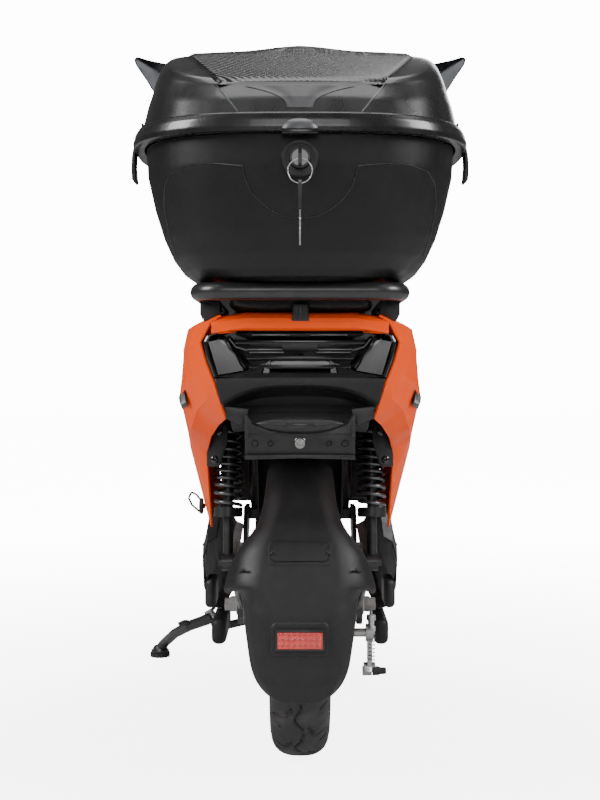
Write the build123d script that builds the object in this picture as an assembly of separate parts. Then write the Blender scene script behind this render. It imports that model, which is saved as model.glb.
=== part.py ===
# Electric moped scooter with a top case, as an assembly of separate pieces.
# Working frame: X to the scooter's right, Y forward from the rear axle, Z up from the ground.
# Every piece is moved along Y at the end, so that the origin is under the middle of the whole.
from build123d import *
import os
from math import cos, pi, radians, sin, sqrt

# ---- overall sizes ----
wheelbase = 1250.0
case_width = 396.0
case_length = 380.0
bar_width = 640.0
seat_height = 700.0

# ---- clearances and walls ----
gap = 0.5               # between pieces that don't touch
run_fit = 0.05          # radial play of a shaft in its bore
panel_wall = 3.0
case_wall = 3.0

# ---- wheels ----
tyre_radius = 203.0
tyre_width = 80.0
tread_flat = 34.0
tyre_wall = 8.0
bead_radius = 127.0
rim_width = 62.0
rim_flange = 9.0
hub_radius = 92.0
hub_wall = 6.0
axle_radius = 7.0
bearing_radius = 17.5
bearing_width = 11.0
axle_z = tyre_radius

# ---- rear drive ----
arm_inner_x = 78.0      # inside face of each dropout plate
arm_plate = 8.0
axle_end_x = 104.0
nut_thick = 9.0
pivot_y = 330.0
pivot_z = 232.0
pivot_radius = 8.0
drum_radius = 60.0
brake_plate_x = 44.0

# ---- shock absorbers ----
shock_x = 100.0
shock_low_y = -6.0
shock_low_z = 262.0
shock_top_y = 22.0
shock_top_z = 468.0
shock_pin_r = 5.0
shock_eye_r = 12.0
shock_eye_w = 16.0
spring_r = 18.0
spring_wire = 3.2
spring_turns = 9

# ---- steering and fork ----
rake = 23.0
trail = 80.0
column_r = 14.0
head_tube_r = 24.0
head_low = 640.0        # distance up the steering axis from the ground
head_high = 800.0
fork_half = 68.0
stanchion_r = 13.0
slider_r = 17.0

# ---- handlebar ----
bar_r = 11.0
bar_z = 1010.0
bar_straight = 180.0    # straight length at each end
grip_r = 16.0
grip_len = 118.0
mirror_y = 930.0

# ---- tail, carrier and top case ----
tail_y = -235.0
band_top_z = 596.0
carrier_y = -260.0
carrier_z = 622.0
carrier_r = 11.0
carrier_half = 122.0
case_base_z = 634.0
case_rim_z = 799.0
case_rim_tall = 22.0
case_apex_z = 955.0
case_back_y = -330.0

# ---- seat ----
seat_back_y = 66.0
seat_front_y = 560.0
seat_base_z = 606.0

# ---- side stand ----
stand_x = -152.0
stand_y = 470.0
stand_z = 96.0
stand_foot_x = -258.0
stand_foot_y = 588.0
stand_foot_r = 18.0

nodes = {}


def keep(name, *solids):
    """Collect solids under a node's name."""
    nodes.setdefault(name, []).extend(solids)


def block(x0, x1, y0, y1, z0, z1):
    box = Box(x1 - x0, y1 - y0, z1 - z0)
    return Pos((x0 + x1) / 2, (y0 + y1) / 2, (z0 + z1) / 2) * box


def rod(start, end, radius):
    """A round bar between two points."""
    a = Vector(*start)
    b = Vector(*end)
    return Solid.make_cylinder(radius, (b - a).length, Plane(origin=a, z_dir=b - a))


def pipe(start, end, outer, inner):
    return rod(start, end, outer) - rod(start, end, inner)


def rod_x(x0, x1, y, z, radius):
    return rod((x0, y, z), (x1, y, z), radius)


def rod_y(x, y0, y1, z, radius):
    return rod((x, y0, z), (x, y1, z), radius)


def rod_z(x, y, z0, z1, radius):
    return rod((x, y, z0), (x, y, z1), radius)


def bent(points, corner, radius):
    """A round bar along straight runs joined by arcs."""
    path = FilletPolyline(*points, radius=corner)
    section = Plane(origin=path @ 0, z_dir=path % 0) * Circle(radius)
    return sweep(section, path=path)


def prism_x(outline, x0, x1):
    """Extrude a (y, z) outline from x0 to x1."""
    plane = Plane(origin=(x0, 0, 0), x_dir=(0, 1, 0), z_dir=(1, 0, 0))
    face = plane * make_face(Polyline(*outline, close=True))
    return extrude(face, amount=x1 - x0)


def prism_y(outline, y0, y1):
    """Extrude an (x, z) outline from y0 to y1."""
    plane = Plane(origin=(0, y1, 0), x_dir=(1, 0, 0), z_dir=(0, -1, 0))
    face = plane * make_face(Polyline(*outline, close=True))
    return extrude(face, amount=y1 - y0)


def prism_z(outline, z0, z1):
    """Extrude an (x, y) outline from z0 to z1."""
    face = Pos(0, 0, z0) * make_face(Polyline(*outline, close=True))
    return extrude(face, amount=z1 - z0)


def section_y(outline, y):
    """A closed (x, z) outline as a face at one place along Y."""
    return make_face(Polyline(*[(x, y, z) for x, z in outline], close=True))


def skin(outlines):
    """Straight-sided loft through {y: (x, z) outline} sections."""
    return loft([section_y(outline, y) for y, outline in sorted(outlines.items())], ruled=True)


def wall_line(points, thickness):
    """Thicken an open (x, z) line inwards, towards X = 0, into a closed outline."""
    inner = []
    for index, (x, z) in enumerate(points):
        before = points[max(index - 1, 0)]
        after = points[min(index + 1, len(points) - 1)]
        dx, dz = after[0] - before[0], after[1] - before[1]
        length = sqrt(dx * dx + dz * dz)
        inner.append((x - thickness * dz / length, z + thickness * dx / length))
    return points + inner[::-1]


def mirrored(solid):
    return mirror(solid, about=Plane.YZ)


def pair(solid):
    return [solid, mirrored(solid)]


def ring_x(profile):
    """Turn an (x, radius) outline about the rear axle's line."""
    face = make_face(Polyline(*[(x, 0, axle_z + r) for x, r in profile], close=True))
    return revolve(face, axis=Axis((0, 0, axle_z), (1, 0, 0)), revolution_arc=360)


def along_steering(distance):
    """(y, z) of a point on the steering axis, measured up from the ground."""
    return (wheelbase + trail - distance * sin(radians(rake)), distance * cos(radians(rake)))


def steering_frame(distance, x=0.0, forward=0.0):
    """A point given along, beside and ahead of the steering axis."""
    y, z = along_steering(distance)
    return (x, y + forward * cos(radians(rake)), z + forward * sin(radians(rake)))


# ---- wheels ----
def tyre(centre_y):
    """Carcass of one tyre: bead, bulged wall and a tread with a flat middle."""
    half = tyre_width / 2
    bead = rim_width / 2
    outer = [(bead, bead_radius), (bead, bead_radius + rim_flange), (half - 1, 156), (half, 170),
             (half - 2, 184), (half - 8, 195), (tread_flat / 2 + 6, tyre_radius - 1.5),
             (tread_flat / 2, tyre_radius)]
    inner = [(tread_flat / 2, tyre_radius - tyre_wall), (half - 13, tyre_radius - tyre_wall - 6),
             (half - tyre_wall, 176), (half - tyre_wall, 158), (bead - tyre_wall, 138),
             (bead - tyre_wall, bead_radius)]
    profile = [(-x, r) for x, r in outer] + outer[::-1] + inner[::-1] + [(-x, r) for x, r in inner]
    return Pos(0, centre_y, 0) * ring_x(profile)


def rim_ring(centre_y):
    """Drop-centre rim with a flange at each side."""
    bead = rim_width / 2
    half = [(bead + 3, bead_radius + rim_flange), (bead, bead_radius + rim_flange), (bead, bead_radius),
            (bead - 9, bead_radius), (bead - 13, bead_radius - 9)]
    under = [(bead - 9, bead_radius - 15), (bead + 3, bead_radius - 5)]
    profile = half + [(-x, r) for x, r in half[::-1]] + [(-x, r) for x, r in under[::-1]] + under
    return Pos(0, centre_y, 0) * ring_x(profile)


hub_face = 30.0         # half width of the motor casing
drum_floor = 10.0       # x of the wall between motor and brake drum
drum_depth = 38.0
stator_radius = hub_radius - hub_wall - 5


def hub_motor():
    """Cast rim and motor casing with a brake drum in its right side."""
    casing = rod_x(-hub_face, hub_face, 0, axle_z, hub_radius)
    casing -= rod_x(-hub_face + hub_wall, drum_floor, 0, axle_z, hub_radius - hub_wall)
    casing += rod_x(drum_floor, drum_depth, 0, axle_z, drum_radius + hub_wall)
    casing -= rod_x(drum_floor + hub_wall, drum_depth + 1, 0, axle_z, drum_radius)
    casing += rod_x(-hub_face - bearing_width / 2, -hub_face + hub_wall, 0, axle_z, bearing_radius + hub_wall)
    for x0 in (-hub_face - bearing_width / 2, drum_floor - bearing_width + hub_wall):
        casing += pipe((x0, 0, axle_z), (x0 + bearing_width, 0, axle_z), bearing_radius + 4, bearing_radius)
    casing -= rod_x(-hub_face - bearing_width, drum_depth + 1, 0, axle_z, bearing_radius)
    wheel = casing + rim_ring(0)
    spoke = block(-14, 14, -13, 13, axle_z + hub_radius - 2, axle_z + bead_radius - 14)
    for index in range(5):
        wheel += spoke.rotate(Axis((0, 0, axle_z), (1, 0, 0)), 72 * index + 36)
    return wheel


def motor_stator():
    """Wound stator on its carrier, held by the axle."""
    x0, x1 = -hub_face + hub_wall + 5, drum_floor - bearing_width
    core = rod_x(x0, x1, 0, axle_z, stator_radius) - rod_x(x0, x1, 0, axle_z, axle_radius)
    core -= pipe((x0 - 1, 0, axle_z), (x0 + 6, 0, axle_z), stator_radius - 22, bearing_radius)
    return core


def brake_shoes():
    """Two shoes inside the drum, a little clear of its wall."""
    ring = pipe((drum_floor + hub_wall + 2, 0, axle_z), (drum_depth - 3, 0, axle_z), drum_radius - gap,
                drum_radius - 9)
    split = block(drum_floor, drum_depth + 1, -4, 4, axle_z - drum_radius - 1, axle_z + drum_radius + 1)
    return (ring - split).solids()


cam_y = -10.0
cam_z = axle_z - 38.0
cam_radius = 6.0
cam_arm_x = 91.0


def brake_plate():
    """Plate that closes the drum and carries the cam and the shoes' pivot."""
    plate = rod_x(brake_plate_x - 4, brake_plate_x + 2, 0, axle_z, drum_radius + 4)
    plate += rod_x(brake_plate_x + 2, arm_inner_x, 0, axle_z, 15)
    plate += rod_x(brake_plate_x + 2, brake_plate_x + 26, cam_y, cam_z, cam_radius + 5)
    plate += rod_x(drum_floor + hub_wall + 2, brake_plate_x, 0, axle_z + 42, 5)
    plate += block(brake_plate_x + 2, brake_plate_x + 12, 20, 62, axle_z - 8, axle_z + 8)
    plate -= rod_x(0, arm_inner_x + 1, 0, axle_z, axle_radius)
    plate -= rod_x(0, arm_inner_x + 1, cam_y, cam_z, cam_radius + run_fit)
    plate -= pipe((drum_floor, 0, axle_z), (drum_depth, 0, axle_z), drum_radius, drum_radius - 10)
    return plate


def brake_arm():
    """Cam shaft with the lever that the cable pulls."""
    arm = rod_x(drum_floor + hub_wall + 2, cam_arm_x + 12, cam_y, cam_z, cam_radius)
    arm += rod_x(cam_arm_x, cam_arm_x + 10, cam_y, cam_z, cam_radius + 6)
    tip_z = cam_z - 56
    outline = [(cam_y - 9, cam_z), (cam_y + 9, cam_z), (cam_y + 7, tip_z), (cam_y - 7, tip_z)]
    arm += prism_x(outline, cam_arm_x + 2, cam_arm_x + 8)
    arm += rod_x(cam_arm_x - 3, cam_arm_x + 13, cam_y, tip_z + 8, 7)
    return arm


def rear_axle():
    """Threaded axle with a nut and washer at each end."""
    axle = rod_x(-axle_end_x, axle_end_x, 0, axle_z, axle_radius)
    nuts = []
    for side in (-1, 1):
        seat_x = side * (arm_inner_x + arm_plate)
        washer = pipe((seat_x, 0, axle_z), (seat_x + side * 2, 0, axle_z), 13, axle_radius)
        start = min(seat_x + side * 2, seat_x + side * (2 + nut_thick))
        nut = Plane(origin=(start, 0, axle_z), x_dir=(0, 1, 0), z_dir=(1, 0, 0)) * RegularPolygon(11, 6)
        nut = extrude(nut, amount=nut_thick) - rod_x(start - 1, start + nut_thick + 1, 0, axle_z, axle_radius)
        nuts += [washer, nut]
    return [axle] + nuts


def front_rim():
    """Cast front wheel with five spokes and a hub."""
    hub_half = 34.0
    wheel = rim_ring(wheelbase) + rod_x(-hub_half, hub_half, wheelbase, axle_z, 27)
    spoke = block(-11, 11, wheelbase - 10, wheelbase + 10, axle_z + 24, axle_z + bead_radius - 14)
    for index in range(5):
        wheel += spoke.rotate(Axis((0, wheelbase, axle_z), (1, 0, 0)), 72 * index)
    wheel -= rod_x(-hub_half - 1, hub_half + 1, wheelbase, axle_z, axle_radius + 3)
    for x0 in (-hub_half - 1, hub_half - bearing_width):
        wheel -= rod_x(x0, x0 + bearing_width + 1, wheelbase, axle_z, bearing_radius)
    return wheel


def wheel_bearings(centre_y, starts):
    return [pipe((x, centre_y, axle_z), (x + bearing_width, centre_y, axle_z), bearing_radius,
                 axle_radius + run_fit) for x in starts]


disc_x = -40.0
disc_radius = 90.0


def brake_disc():
    """Front disc with a ring of cooling holes, bolted to the hub."""
    disc = pipe((disc_x, wheelbase, axle_z), (disc_x + 4, wheelbase, axle_z), disc_radius, 30)
    carrier = pipe((disc_x, wheelbase, axle_z), (-34, wheelbase, axle_z), 32, bearing_radius)
    disc += carrier
    hole = rod_x(disc_x - 1, disc_x + 5, wheelbase, axle_z + 76, 4)
    for index in range(16):
        disc -= hole.rotate(Axis((0, wheelbase, axle_z), (1, 0, 0)), 22.5 * index)
    return disc


# ---- swingarm, mudguard and shock absorbers ----
def dropout_outline():
    """Plate around the axle with an ear for the shock absorber."""
    return [(-26, axle_z - 14), (-8, axle_z - 27), (14, axle_z - 27), (74, pivot_z - 34), (74, pivot_z - 6),
            (26, axle_z + 28), (shock_low_y + 13, shock_low_z + 4), (shock_low_y + 6, shock_low_z + 12),
            (shock_low_y - 6, shock_low_z + 12), (shock_low_y - 13, shock_low_z + 4), (-26, axle_z + 10)]


def swingarm():
    """Two box arms on a pivot tube, with dropouts and shock pins."""
    arm = None
    for side in (-1, 1):
        inner = side * (arm_inner_x - 14)
        outer = side * (arm_inner_x + arm_plate)
        x0, x1 = min(inner, outer), max(inner, outer)
        beam = prism_x([(62, pivot_z - 33), (62, pivot_z - 9), (pivot_y, pivot_z + 14),
                        (pivot_y, pivot_z - 16)], x0, x1)
        face = side * arm_inner_x
        plate = prism_x(dropout_outline(), min(face, outer), max(face, outer))
        pin_end = side * (shock_x + shock_eye_w / 2 + 5)
        pin = rod_x(min(outer, pin_end), max(outer, pin_end), shock_low_y, shock_low_z, shock_pin_r)
        piece = beam + plate + pin
        arm = piece if arm is None else arm + piece
    reach = arm_inner_x + arm_plate
    arm += rod_x(-reach, reach, pivot_y, pivot_z, pivot_radius + 9)
    arm += rod_x(-arm_inner_x, arm_inner_x, 246, pivot_z - 6, 13)
    arm -= rod_x(-reach - 1, reach + 1, pivot_y, pivot_z, pivot_radius + run_fit)
    arm -= rod_x(-reach - 1, reach + 1, 0, axle_z, axle_radius)
    return arm


guard_start = 116.0     # degrees about the axle, from straight ahead over the top
guard_end = 197.0
guard_wall = 3.0


def guard_section(angle, half, radius, flange):
    """Channel across the mudguard at one angle round the wheel."""
    out = Vector(0, cos(radians(angle)), sin(radians(angle)))
    centre = Vector(0, 0, axle_z)
    outer = [(-half, radius - flange), (-half * 0.86, radius), (half * 0.86, radius), (half, radius - flange)]
    inner = [(half - guard_wall, radius - flange), (half * 0.86 - guard_wall, radius - guard_wall),
             (guard_wall - half * 0.86, radius - guard_wall), (guard_wall - half, radius - flange)]
    points = [tuple(centre + out * r + Vector(x, 0, 0)) for x, r in outer + inner]
    return make_face(Polyline(*points, close=True))


def rear_mudguard():
    """Mudguard that follows the tyre, with wings carried by two stays."""
    rows = [(guard_start, 41, 226, 14), (130, 43, 229, 14), (142, 52, 231, 16), (149, 72, 232, 24),
            (158, 90, 234, 34), (168, 74, 238, 26), (178, 64, 243, 20), (189, 58, 248, 14),
            (guard_end, 50, 251, 10)]
    guard = loft([guard_section(*row) for row in rows], ruled=True)
    guard += block(-39, 39, -219, -205, 291, 313)
    stay_x = arm_inner_x + arm_plate
    for side in (-1, 1):
        stay = rod((side * (stay_x - 4), -31, axle_z + 2), (side * (stay_x - 3), -201, 273), 5)
        guard += stay
    return guard


def rear_reflector():
    return block(-27, 27, -250, -243.6, 195, 213)


def shock_point(distance, x):
    """A point up the shock absorber's axis from its lower pin."""
    length = sqrt((shock_top_y - shock_low_y) ** 2 + (shock_top_z - shock_low_z) ** 2)
    share = distance / length
    return (x, shock_low_y + share * (shock_top_y - shock_low_y),
            shock_low_z + share * (shock_top_z - shock_low_z))


shock_length = sqrt((shock_top_y - shock_low_y) ** 2 + (shock_top_z - shock_low_z) ** 2)
collar_low = 62.0
collar_tall = 13.0
damper_bore = 8.0
rod_radius = 7.0
seat_drop = 22.0        # from the top pin to the underside of the spring seat
stroke = 37.0


def shock_lower(x):
    """Lower eye, rod and the collar that the spring stands on."""
    eye = rod_x(x - shock_eye_w / 2, x + shock_eye_w / 2, shock_low_y, shock_low_z, shock_eye_r)
    body = eye + rod(shock_point(0, x), shock_point(shock_length - seat_drop - stroke - 2, x), rod_radius)
    body += rod(shock_point(collar_low, x), shock_point(collar_low + collar_tall, x), spring_r + 2)
    return body - rod_x(x - shock_eye_w, x + shock_eye_w, shock_low_y, shock_low_z, shock_pin_r + run_fit)


def shock_upper(x):
    """Upper eye, spring seat and the damper tube."""
    top = shock_point(shock_length - seat_drop, x)
    tube_end = shock_point(collar_low + collar_tall + stroke + 2, x)
    body = rod_x(x - shock_eye_w / 2, x + shock_eye_w / 2, shock_top_y, shock_top_z, shock_eye_r)
    body += rod(shock_point(shock_length - seat_drop, x), shock_point(shock_length, x), 9)
    body += rod(top, shock_point(shock_length - seat_drop + 5, x), spring_r + 1)
    body += pipe(tube_end, top, damper_bore + 3, damper_bore)
    return body - rod_x(x - shock_eye_w, x + shock_eye_w, shock_top_y, shock_top_z, shock_pin_r + run_fit)


def shock_spring(x):
    """Coil between the collar and the upper seat."""
    low = shock_point(collar_low + collar_tall + spring_wire, x)
    high = shock_point(shock_length - seat_drop - spring_wire, x)
    length = (Vector(*high) - Vector(*low)).length
    axis = Plane(origin=low, z_dir=Vector(*high) - Vector(*low))
    path = Helix(pitch=length / spring_turns, height=length, radius=spring_r - spring_wire)
    section = Plane(origin=path @ 0, z_dir=path % 0) * Circle(spring_wire)
    return axis * sweep(section, path=path)


# ---- frame and what it carries ----
rail_x = 72.0
rail_r = 12.0
seat_rail_x = 80.0
lug_x = arm_inner_x + arm_plate + gap


def main_frame():
    """Welded tubes from the steering head to the tail."""
    top = steering_frame(head_high)
    low = steering_frame(head_low)
    frame = rod(low, top, head_tube_r)
    frame += bent([(0, low[1] - 8, low[2] + 24), (0, 985, 470), (0, 965, 330), (0, 890, 282)], 60, 19)
    frame += rod_x(-rail_x, rail_x, 890, 282, 15)
    for side in (-1, 1):
        rail = [(side * rail_x, 892, 282), (side * rail_x, 430, 282), (side * seat_rail_x, 350, 470),
                (side * seat_rail_x, -60, 545), (side * (seat_rail_x - 18), -176, 558)]
        frame += bent(rail, 45, rail_r)
        lug = [(pivot_y - 24, pivot_z - 20), (pivot_y + 24, pivot_z - 20), (pivot_y + 120, 276),
               (pivot_y + 120, 296), (pivot_y + 20, 300)]
        near, far = side * lug_x, side * (lug_x + 7)
        frame += prism_x(lug, min(near, far), max(near, far))
        reach = side * (rail_x - 4)
        frame += block(min(reach, far), max(reach, far), pivot_y + 80, pivot_y + 118, 274, 290)
        ear = [(shock_top_y - 16, 556), (shock_top_y + 16, 552), (shock_top_y + 13, shock_top_z - 12),
               (shock_top_y - 13, shock_top_z - 12)]
        near, far = side * (seat_rail_x + 3), side * (seat_rail_x + 10)
        frame += prism_x(ear, min(near, far), max(near, far))
        pin = side * (shock_x + shock_eye_w / 2 + 5)
        frame += rod_x(min(near, pin), max(near, pin), shock_top_y, shock_top_z, shock_pin_r)
    for y, z in ((352, 468), (-160, 557), (640, 282)):
        frame += rod_x(-rail_x, rail_x, y, z, 9)
    frame += prism_x([(455, 80), (495, 80), (500, 276), (460, 276)], -rail_x - 6, -rail_x + 2)
    under = Vector(stand_x, stand_y, stand_z) - stand_swing() * 21.8
    frame += rod(tuple(under), (-rail_x - 4, 474, 92), 7)
    frame += rod((0, 352, 468), (0, 436, 571), 8) + block(-24, 24, 430, 540, 568, seat_base_z - 30.5)
    frame -= rod(steering_frame(head_low - 30), steering_frame(head_high + 30), head_tube_r - 5)
    for side in (-1, 1):
        frame -= rod_x(side * lug_x - 12, side * lug_x + 12, pivot_y, pivot_z, pivot_radius)
    return frame


def head_bearings():
    """Bearing rings at both ends of the steering head."""
    rings = []
    for start in (head_low, head_high - bearing_width):
        a, b = steering_frame(start), steering_frame(start + bearing_width)
        rings.append(pipe(a, b, head_tube_r - 5, column_r + run_fit))
    return rings


def pivot_bolt():
    """Bolt through the frame lugs and the swingarm, with a nut at each end."""
    reach = lug_x + 7
    bolt = rod_x(-reach - 9, reach + 9, pivot_y, pivot_z, pivot_radius)
    for side in (-1, 1):
        start = min(side * reach, side * (reach + 8))
        head_plane = Plane(origin=(start, pivot_y, pivot_z), x_dir=(0, 1, 0), z_dir=(1, 0, 0))
        head = head_plane * RegularPolygon(14, 6)
        bolt += extrude(head, amount=8)
    return bolt


def tray():
    """Moulded foot board with upturned edges."""
    edge = 150.0
    outline = [(-edge, 318), (-edge, 306), (-edge + 12, 298), (edge - 12, 298), (edge, 306), (edge, 318),
               (edge - 5, 318), (edge - 14, 303), (14 - edge, 303), (5 - edge, 318)]
    return prism_y(outline, 478, 861)


def floor_mat():
    """Rubber mat with raised ribs."""
    mat = block(-118, 118, 500, 856, 303, 306)
    for index in range(8):
        y = 515 + 42 * index
        mat += block(-104, 104, y, y + 14, 305, 308)
    return mat


def side_skirt(side):
    """Lower cover along the foot board and beside the swingarm pivot."""
    rows = {270: [(133, 262), (146, 252), (149, 222), (146, 178), (133, 150)],
            400: [(134, 296), (154, 282), (160, 236), (154, 165), (134, 126)],
            520: [(134, 297), (154, 284), (160, 240), (152, 170), (126, 130)],
            900: [(132, 297), (148, 288), (152, 262), (142, 226), (118, 204)]}
    skirt = skin({y: wall_line(line, -panel_wall) for y, line in rows.items()})
    return skirt if side > 0 else mirrored(skirt)


def body_panel():
    """Right-hand folded side panel from the tail to the foot well."""
    rows = {-235: [(100, 592), (120, 583), (125, 562), (120, 538), (115, 524), (111, 512)],
            -200: [(109, 593), (129, 582), (136, 557), (128, 523), (117, 498), (104, 481)],
            -150: [(117, 593), (141, 580), (148, 553), (147, 512), (130, 482), (108, 462)],
            -100: [(117, 593), (144, 578), (152, 549), (157, 500), (142, 455), (119, 440)],
            -40: [(117, 593), (146, 576), (156, 546), (164, 493), (150, 440), (129, 416)],
            60: [(117, 593), (148, 574), (158, 545), (166, 488), (158, 420), (129, 306)],
            200: [(117, 590), (146, 572), (158, 540), (164, 470), (157, 400), (138, 304)],
            330: [(117, 582), (140, 562), (153, 525), (159, 455), (153, 385), (140, 302)],
            470: [(108, 566), (124, 548), (138, 505), (146, 440), (145, 375), (138, 302)]}
    return skin({y: wall_line(line, -panel_wall) for y, line in rows.items()})


def tail_top_cover():
    """Top band of the tail with a lip over the lamp and holes for the carrier's legs."""
    cover = prism_x([(tail_y + 22, 589), (tail_y + 22, 592), (40, 592), (40, 589)], -115.5, 115.5)
    lip = [(tail_y - 3, 577), (tail_y - 3, band_top_z - 1), (tail_y + 24, band_top_z), (tail_y + 24, 589),
           (tail_y + 3, 589), (tail_y + 3, 577)]
    cover += prism_x(lip, -95, 95)
    for side in (-1, 1):
        cover -= rod_z(side * 107, -40, 580, 600, 7)
    return cover


def lamp_outline(inset):
    return [(-94 + inset, 575 - inset), (94 - inset, 575 - inset), (114 - inset, 560 - inset / 2),
            (108 - inset, 536), (99 - inset, 516 + inset), (inset - 99, 516 + inset), (inset - 108, 536),
            (inset - 114, 560 - inset / 2)]


def lamp_lens():
    return prism_y(lamp_outline(0), tail_y - 2, tail_y + 2)


def lamp_housing():
    """Open-fronted box behind the lens with two rows of light blocks."""
    box = prism_y(lamp_outline(2), tail_y + 2, tail_y + 43)
    box -= prism_y(lamp_outline(5), tail_y + 1, tail_y + 40)
    for z in (551, 536):
        for side in (-1, 1):
            row = block(12, 78, tail_y + 28, tail_y + 41, z - 3, z + 3)
            box += row if side > 0 else mirrored(row)
    return box


def tail_lower_cover():
    """Cover under the lamp that carries the plate bracket."""
    outer = skin({tail_y: [(-98, 514), (98, 514), (88, 462), (-88, 462)],
                  -110: [(-106, 514), (106, 514), (98, 478), (-98, 478)]})
    inner = skin({tail_y + 3: [(-94, 515), (94, 515), (84, 465), (-84, 465)],
                  -109: [(-103, 515), (103, 515), (95, 481), (-95, 481)]})
    cover = outer - inner
    return cover - block(-82, 82, -160, -100, 440, 515)


def side_liner(side):
    """Liner beside a shock absorber, with a face turned to the rear that takes two screws."""
    liner = block(119.5, 122.5, -49, 44, 398, 448)
    liner += prism_y([(98, 430), (98, 452), (112, 456), (122.5, 440), (122.5, 398), (108, 398)], -51, -48)
    return liner if side > 0 else mirrored(liner)


def inner_fender():
    """Arch over the rear tyre, closed towards the battery."""
    outline = [(-65, 420), (-65, 505), (65, 505), (65, 420), (62, 420), (62, 502), (-62, 502), (-62, 420)]
    arch = prism_y(outline, -100, 218)
    arch += block(-65, 65, 215, 218, 300, 505)
    for x in (-65, 62):
        arch += prism_x([(90, 421), (216, 421), (216, 300), (180, 300)], x, x + 3)
    return arch


plate_hole_x = 54.0
plate_hole_z = 440.0


def plate_bracket():
    """Number-plate bracket with its mounting holes and a bent lower lip."""
    bracket = prism_y([(-66, 424), (66, 424), (66, 460), (52, 474), (-52, 474), (-66, 460)], -252, -249)
    bracket += block(-66, 66, -258, -249, 421, 424)
    bracket += block(-40, 40, -249, -238.5, 448, 451) + block(-40, 40, -240, tail_y - 0.5, 448, 474)
    for x in (-plate_hole_x, plate_hole_x):
        bracket -= rod_y(x, -260, -240, plate_hole_z, 2.5)
    return bracket


def plate_lamp():
    return block(-17, 17, -262, -252, 457, 465)


def battery_pack():
    """Battery case with a handle on top."""
    pack = block(-62, 62, 224, 334, 300, 520)
    pack = fillet(pack.edges().filter_by(Axis.Z), 10)
    handle = block(-40, 40, 269, 289, 520, 540) - block(-30, 30, 267, 291, 519, 532)
    return pack + handle


def controller():
    """Finned motor controller under the foot board's rear end."""
    box = block(-55, 55, 440, 466, 340, 440)
    for index in range(8):
        x = -49 + 14 * index
        box += block(x - 1.5, x + 1.5, 432, 441, 344, 436)
    return box


def foot_well():
    """Front wall of the body below the seat."""
    outline = [(-104, 566), (104, 566), (133, 500), (141, 440), (133, 304), (-133, 304), (-141, 440),
               (-133, 500)]
    return prism_y(outline, 472, 475)


# ---- carrier, tail pad and top case ----
def rear_rack():
    """Tube loop under the case with two legs down to the seat rails."""
    half = carrier_half
    loop = [(-112, 42, 608), (-half, -20, carrier_z), (-half, carrier_y, carrier_z),
            (half, carrier_y, carrier_z), (half, -20, carrier_z), (112, 42, 608)]
    rack = bent(loop, 30, carrier_r)
    for side in (-1, 1):
        rack += rod((side * 107, -40, 552), (side * 107, -40, 606), 6)
        rack += rod((side * 107, -40, 604), (side * (half - 2), -40, carrier_z - 2), 6)
        rack += rod((side * 92.5, -40, 553), (side * 108, -40, 553), 5)
        rack += block(*sorted((side * 88, side * half)), -182, -166, 626, 630)
    rack += block(-90, 90, -182, -166, 626, 630)
    return rack


def tail_pad():
    """Pad inside the carrier loop behind the rider's seat."""
    pad = block(-97, 97, -232, 56, 598, 622)
    return fillet(pad.edges().filter_by(Axis.Z), 24)


plate_pitch_x = 120.0
plate_pitch_y = 160.0


def mount_plate():
    """Ribbed plate that fastens the case to the carrier."""
    plate = block(-86, 86, -250, -20, 630, 633.5)
    for x in (-plate_pitch_x / 2, plate_pitch_x / 2):
        for y in (-135 - plate_pitch_y / 2, -135 + plate_pitch_y / 2):
            plate -= rod_z(x, y, 625, 640, 3.2)
    return plate


case_y = -140.0


def oval(z, half, length, inset=0.0):
    """Rounded case outline at one height."""
    count = 28
    power = 2 / 2.9
    points = []
    for index in range(count):
        turn = 2 * pi * index / count
        c, s = cos(turn), sin(turn)
        x = (half - inset) * abs(c) ** power * (1 if c > 0 else -1)
        y = (length - inset) * abs(s) ** power * (1 if s > 0 else -1)
        points.append((x, case_y + y, z))
    return make_face(Spline(*points, periodic=True))


half_w = case_width / 2
half_l = case_length / 2


def case_tub():
    """Lower half of the top case, open at the top, with hinge ears and a lock hole."""
    rows = [(case_base_z, 0.68, 0.74), (case_base_z + 12, 0.735, 0.79), (case_base_z + 50, 0.79, 0.84),
            (case_base_z + 110, 0.87, 0.915), (case_rim_z, 0.945, 0.965)]
    outer = loft([oval(z, half_w * a, half_l * b) for z, a, b in rows])
    inner_rows = [(max(z, case_base_z + case_wall + 1), a, b) for z, a, b in rows]
    inner_rows[0] = (case_base_z + case_wall + 1, 0.70, 0.755)
    inner_rows[1] = (case_base_z + 14, 0.74, 0.795)
    inner_rows[-1] = (case_rim_z + 1, 0.946, 0.966)
    inner = loft([oval(z, half_w * a, half_l * b, case_wall) for z, a, b in inner_rows])
    tub = outer - inner
    rim = extrude(oval(case_rim_z - 8, half_w * 0.975, half_l * 0.985), amount=7.5)
    rim -= extrude(oval(case_rim_z - 9, half_w * 0.925, half_l * 0.95), amount=10)
    tub += rim
    for x in (-90, 60):
        tub += block(x, x + 30, hinge_y - 30, hinge_y + 2, case_rim_z - 8, case_rim_z - 1)
        tub += rod_x(x, x + 30, hinge_y, hinge_z, 7)
    tub -= rod_x(-100, 100, hinge_y, hinge_z, 3 + run_fit)
    tub += clip_bracket(1) + clip_bracket(-1)
    tub += rod_y(0, case_back_y + 1, case_back_y + 16, lock_z, 21)
    return tub - rod_y(0, case_back_y - 5, case_back_y + 30, lock_z, lock_r)


hinge_y = 58.0
hinge_z = 802.0
lock_z = 769.0
lock_r = 16.0
plug_r = 9.4


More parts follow.
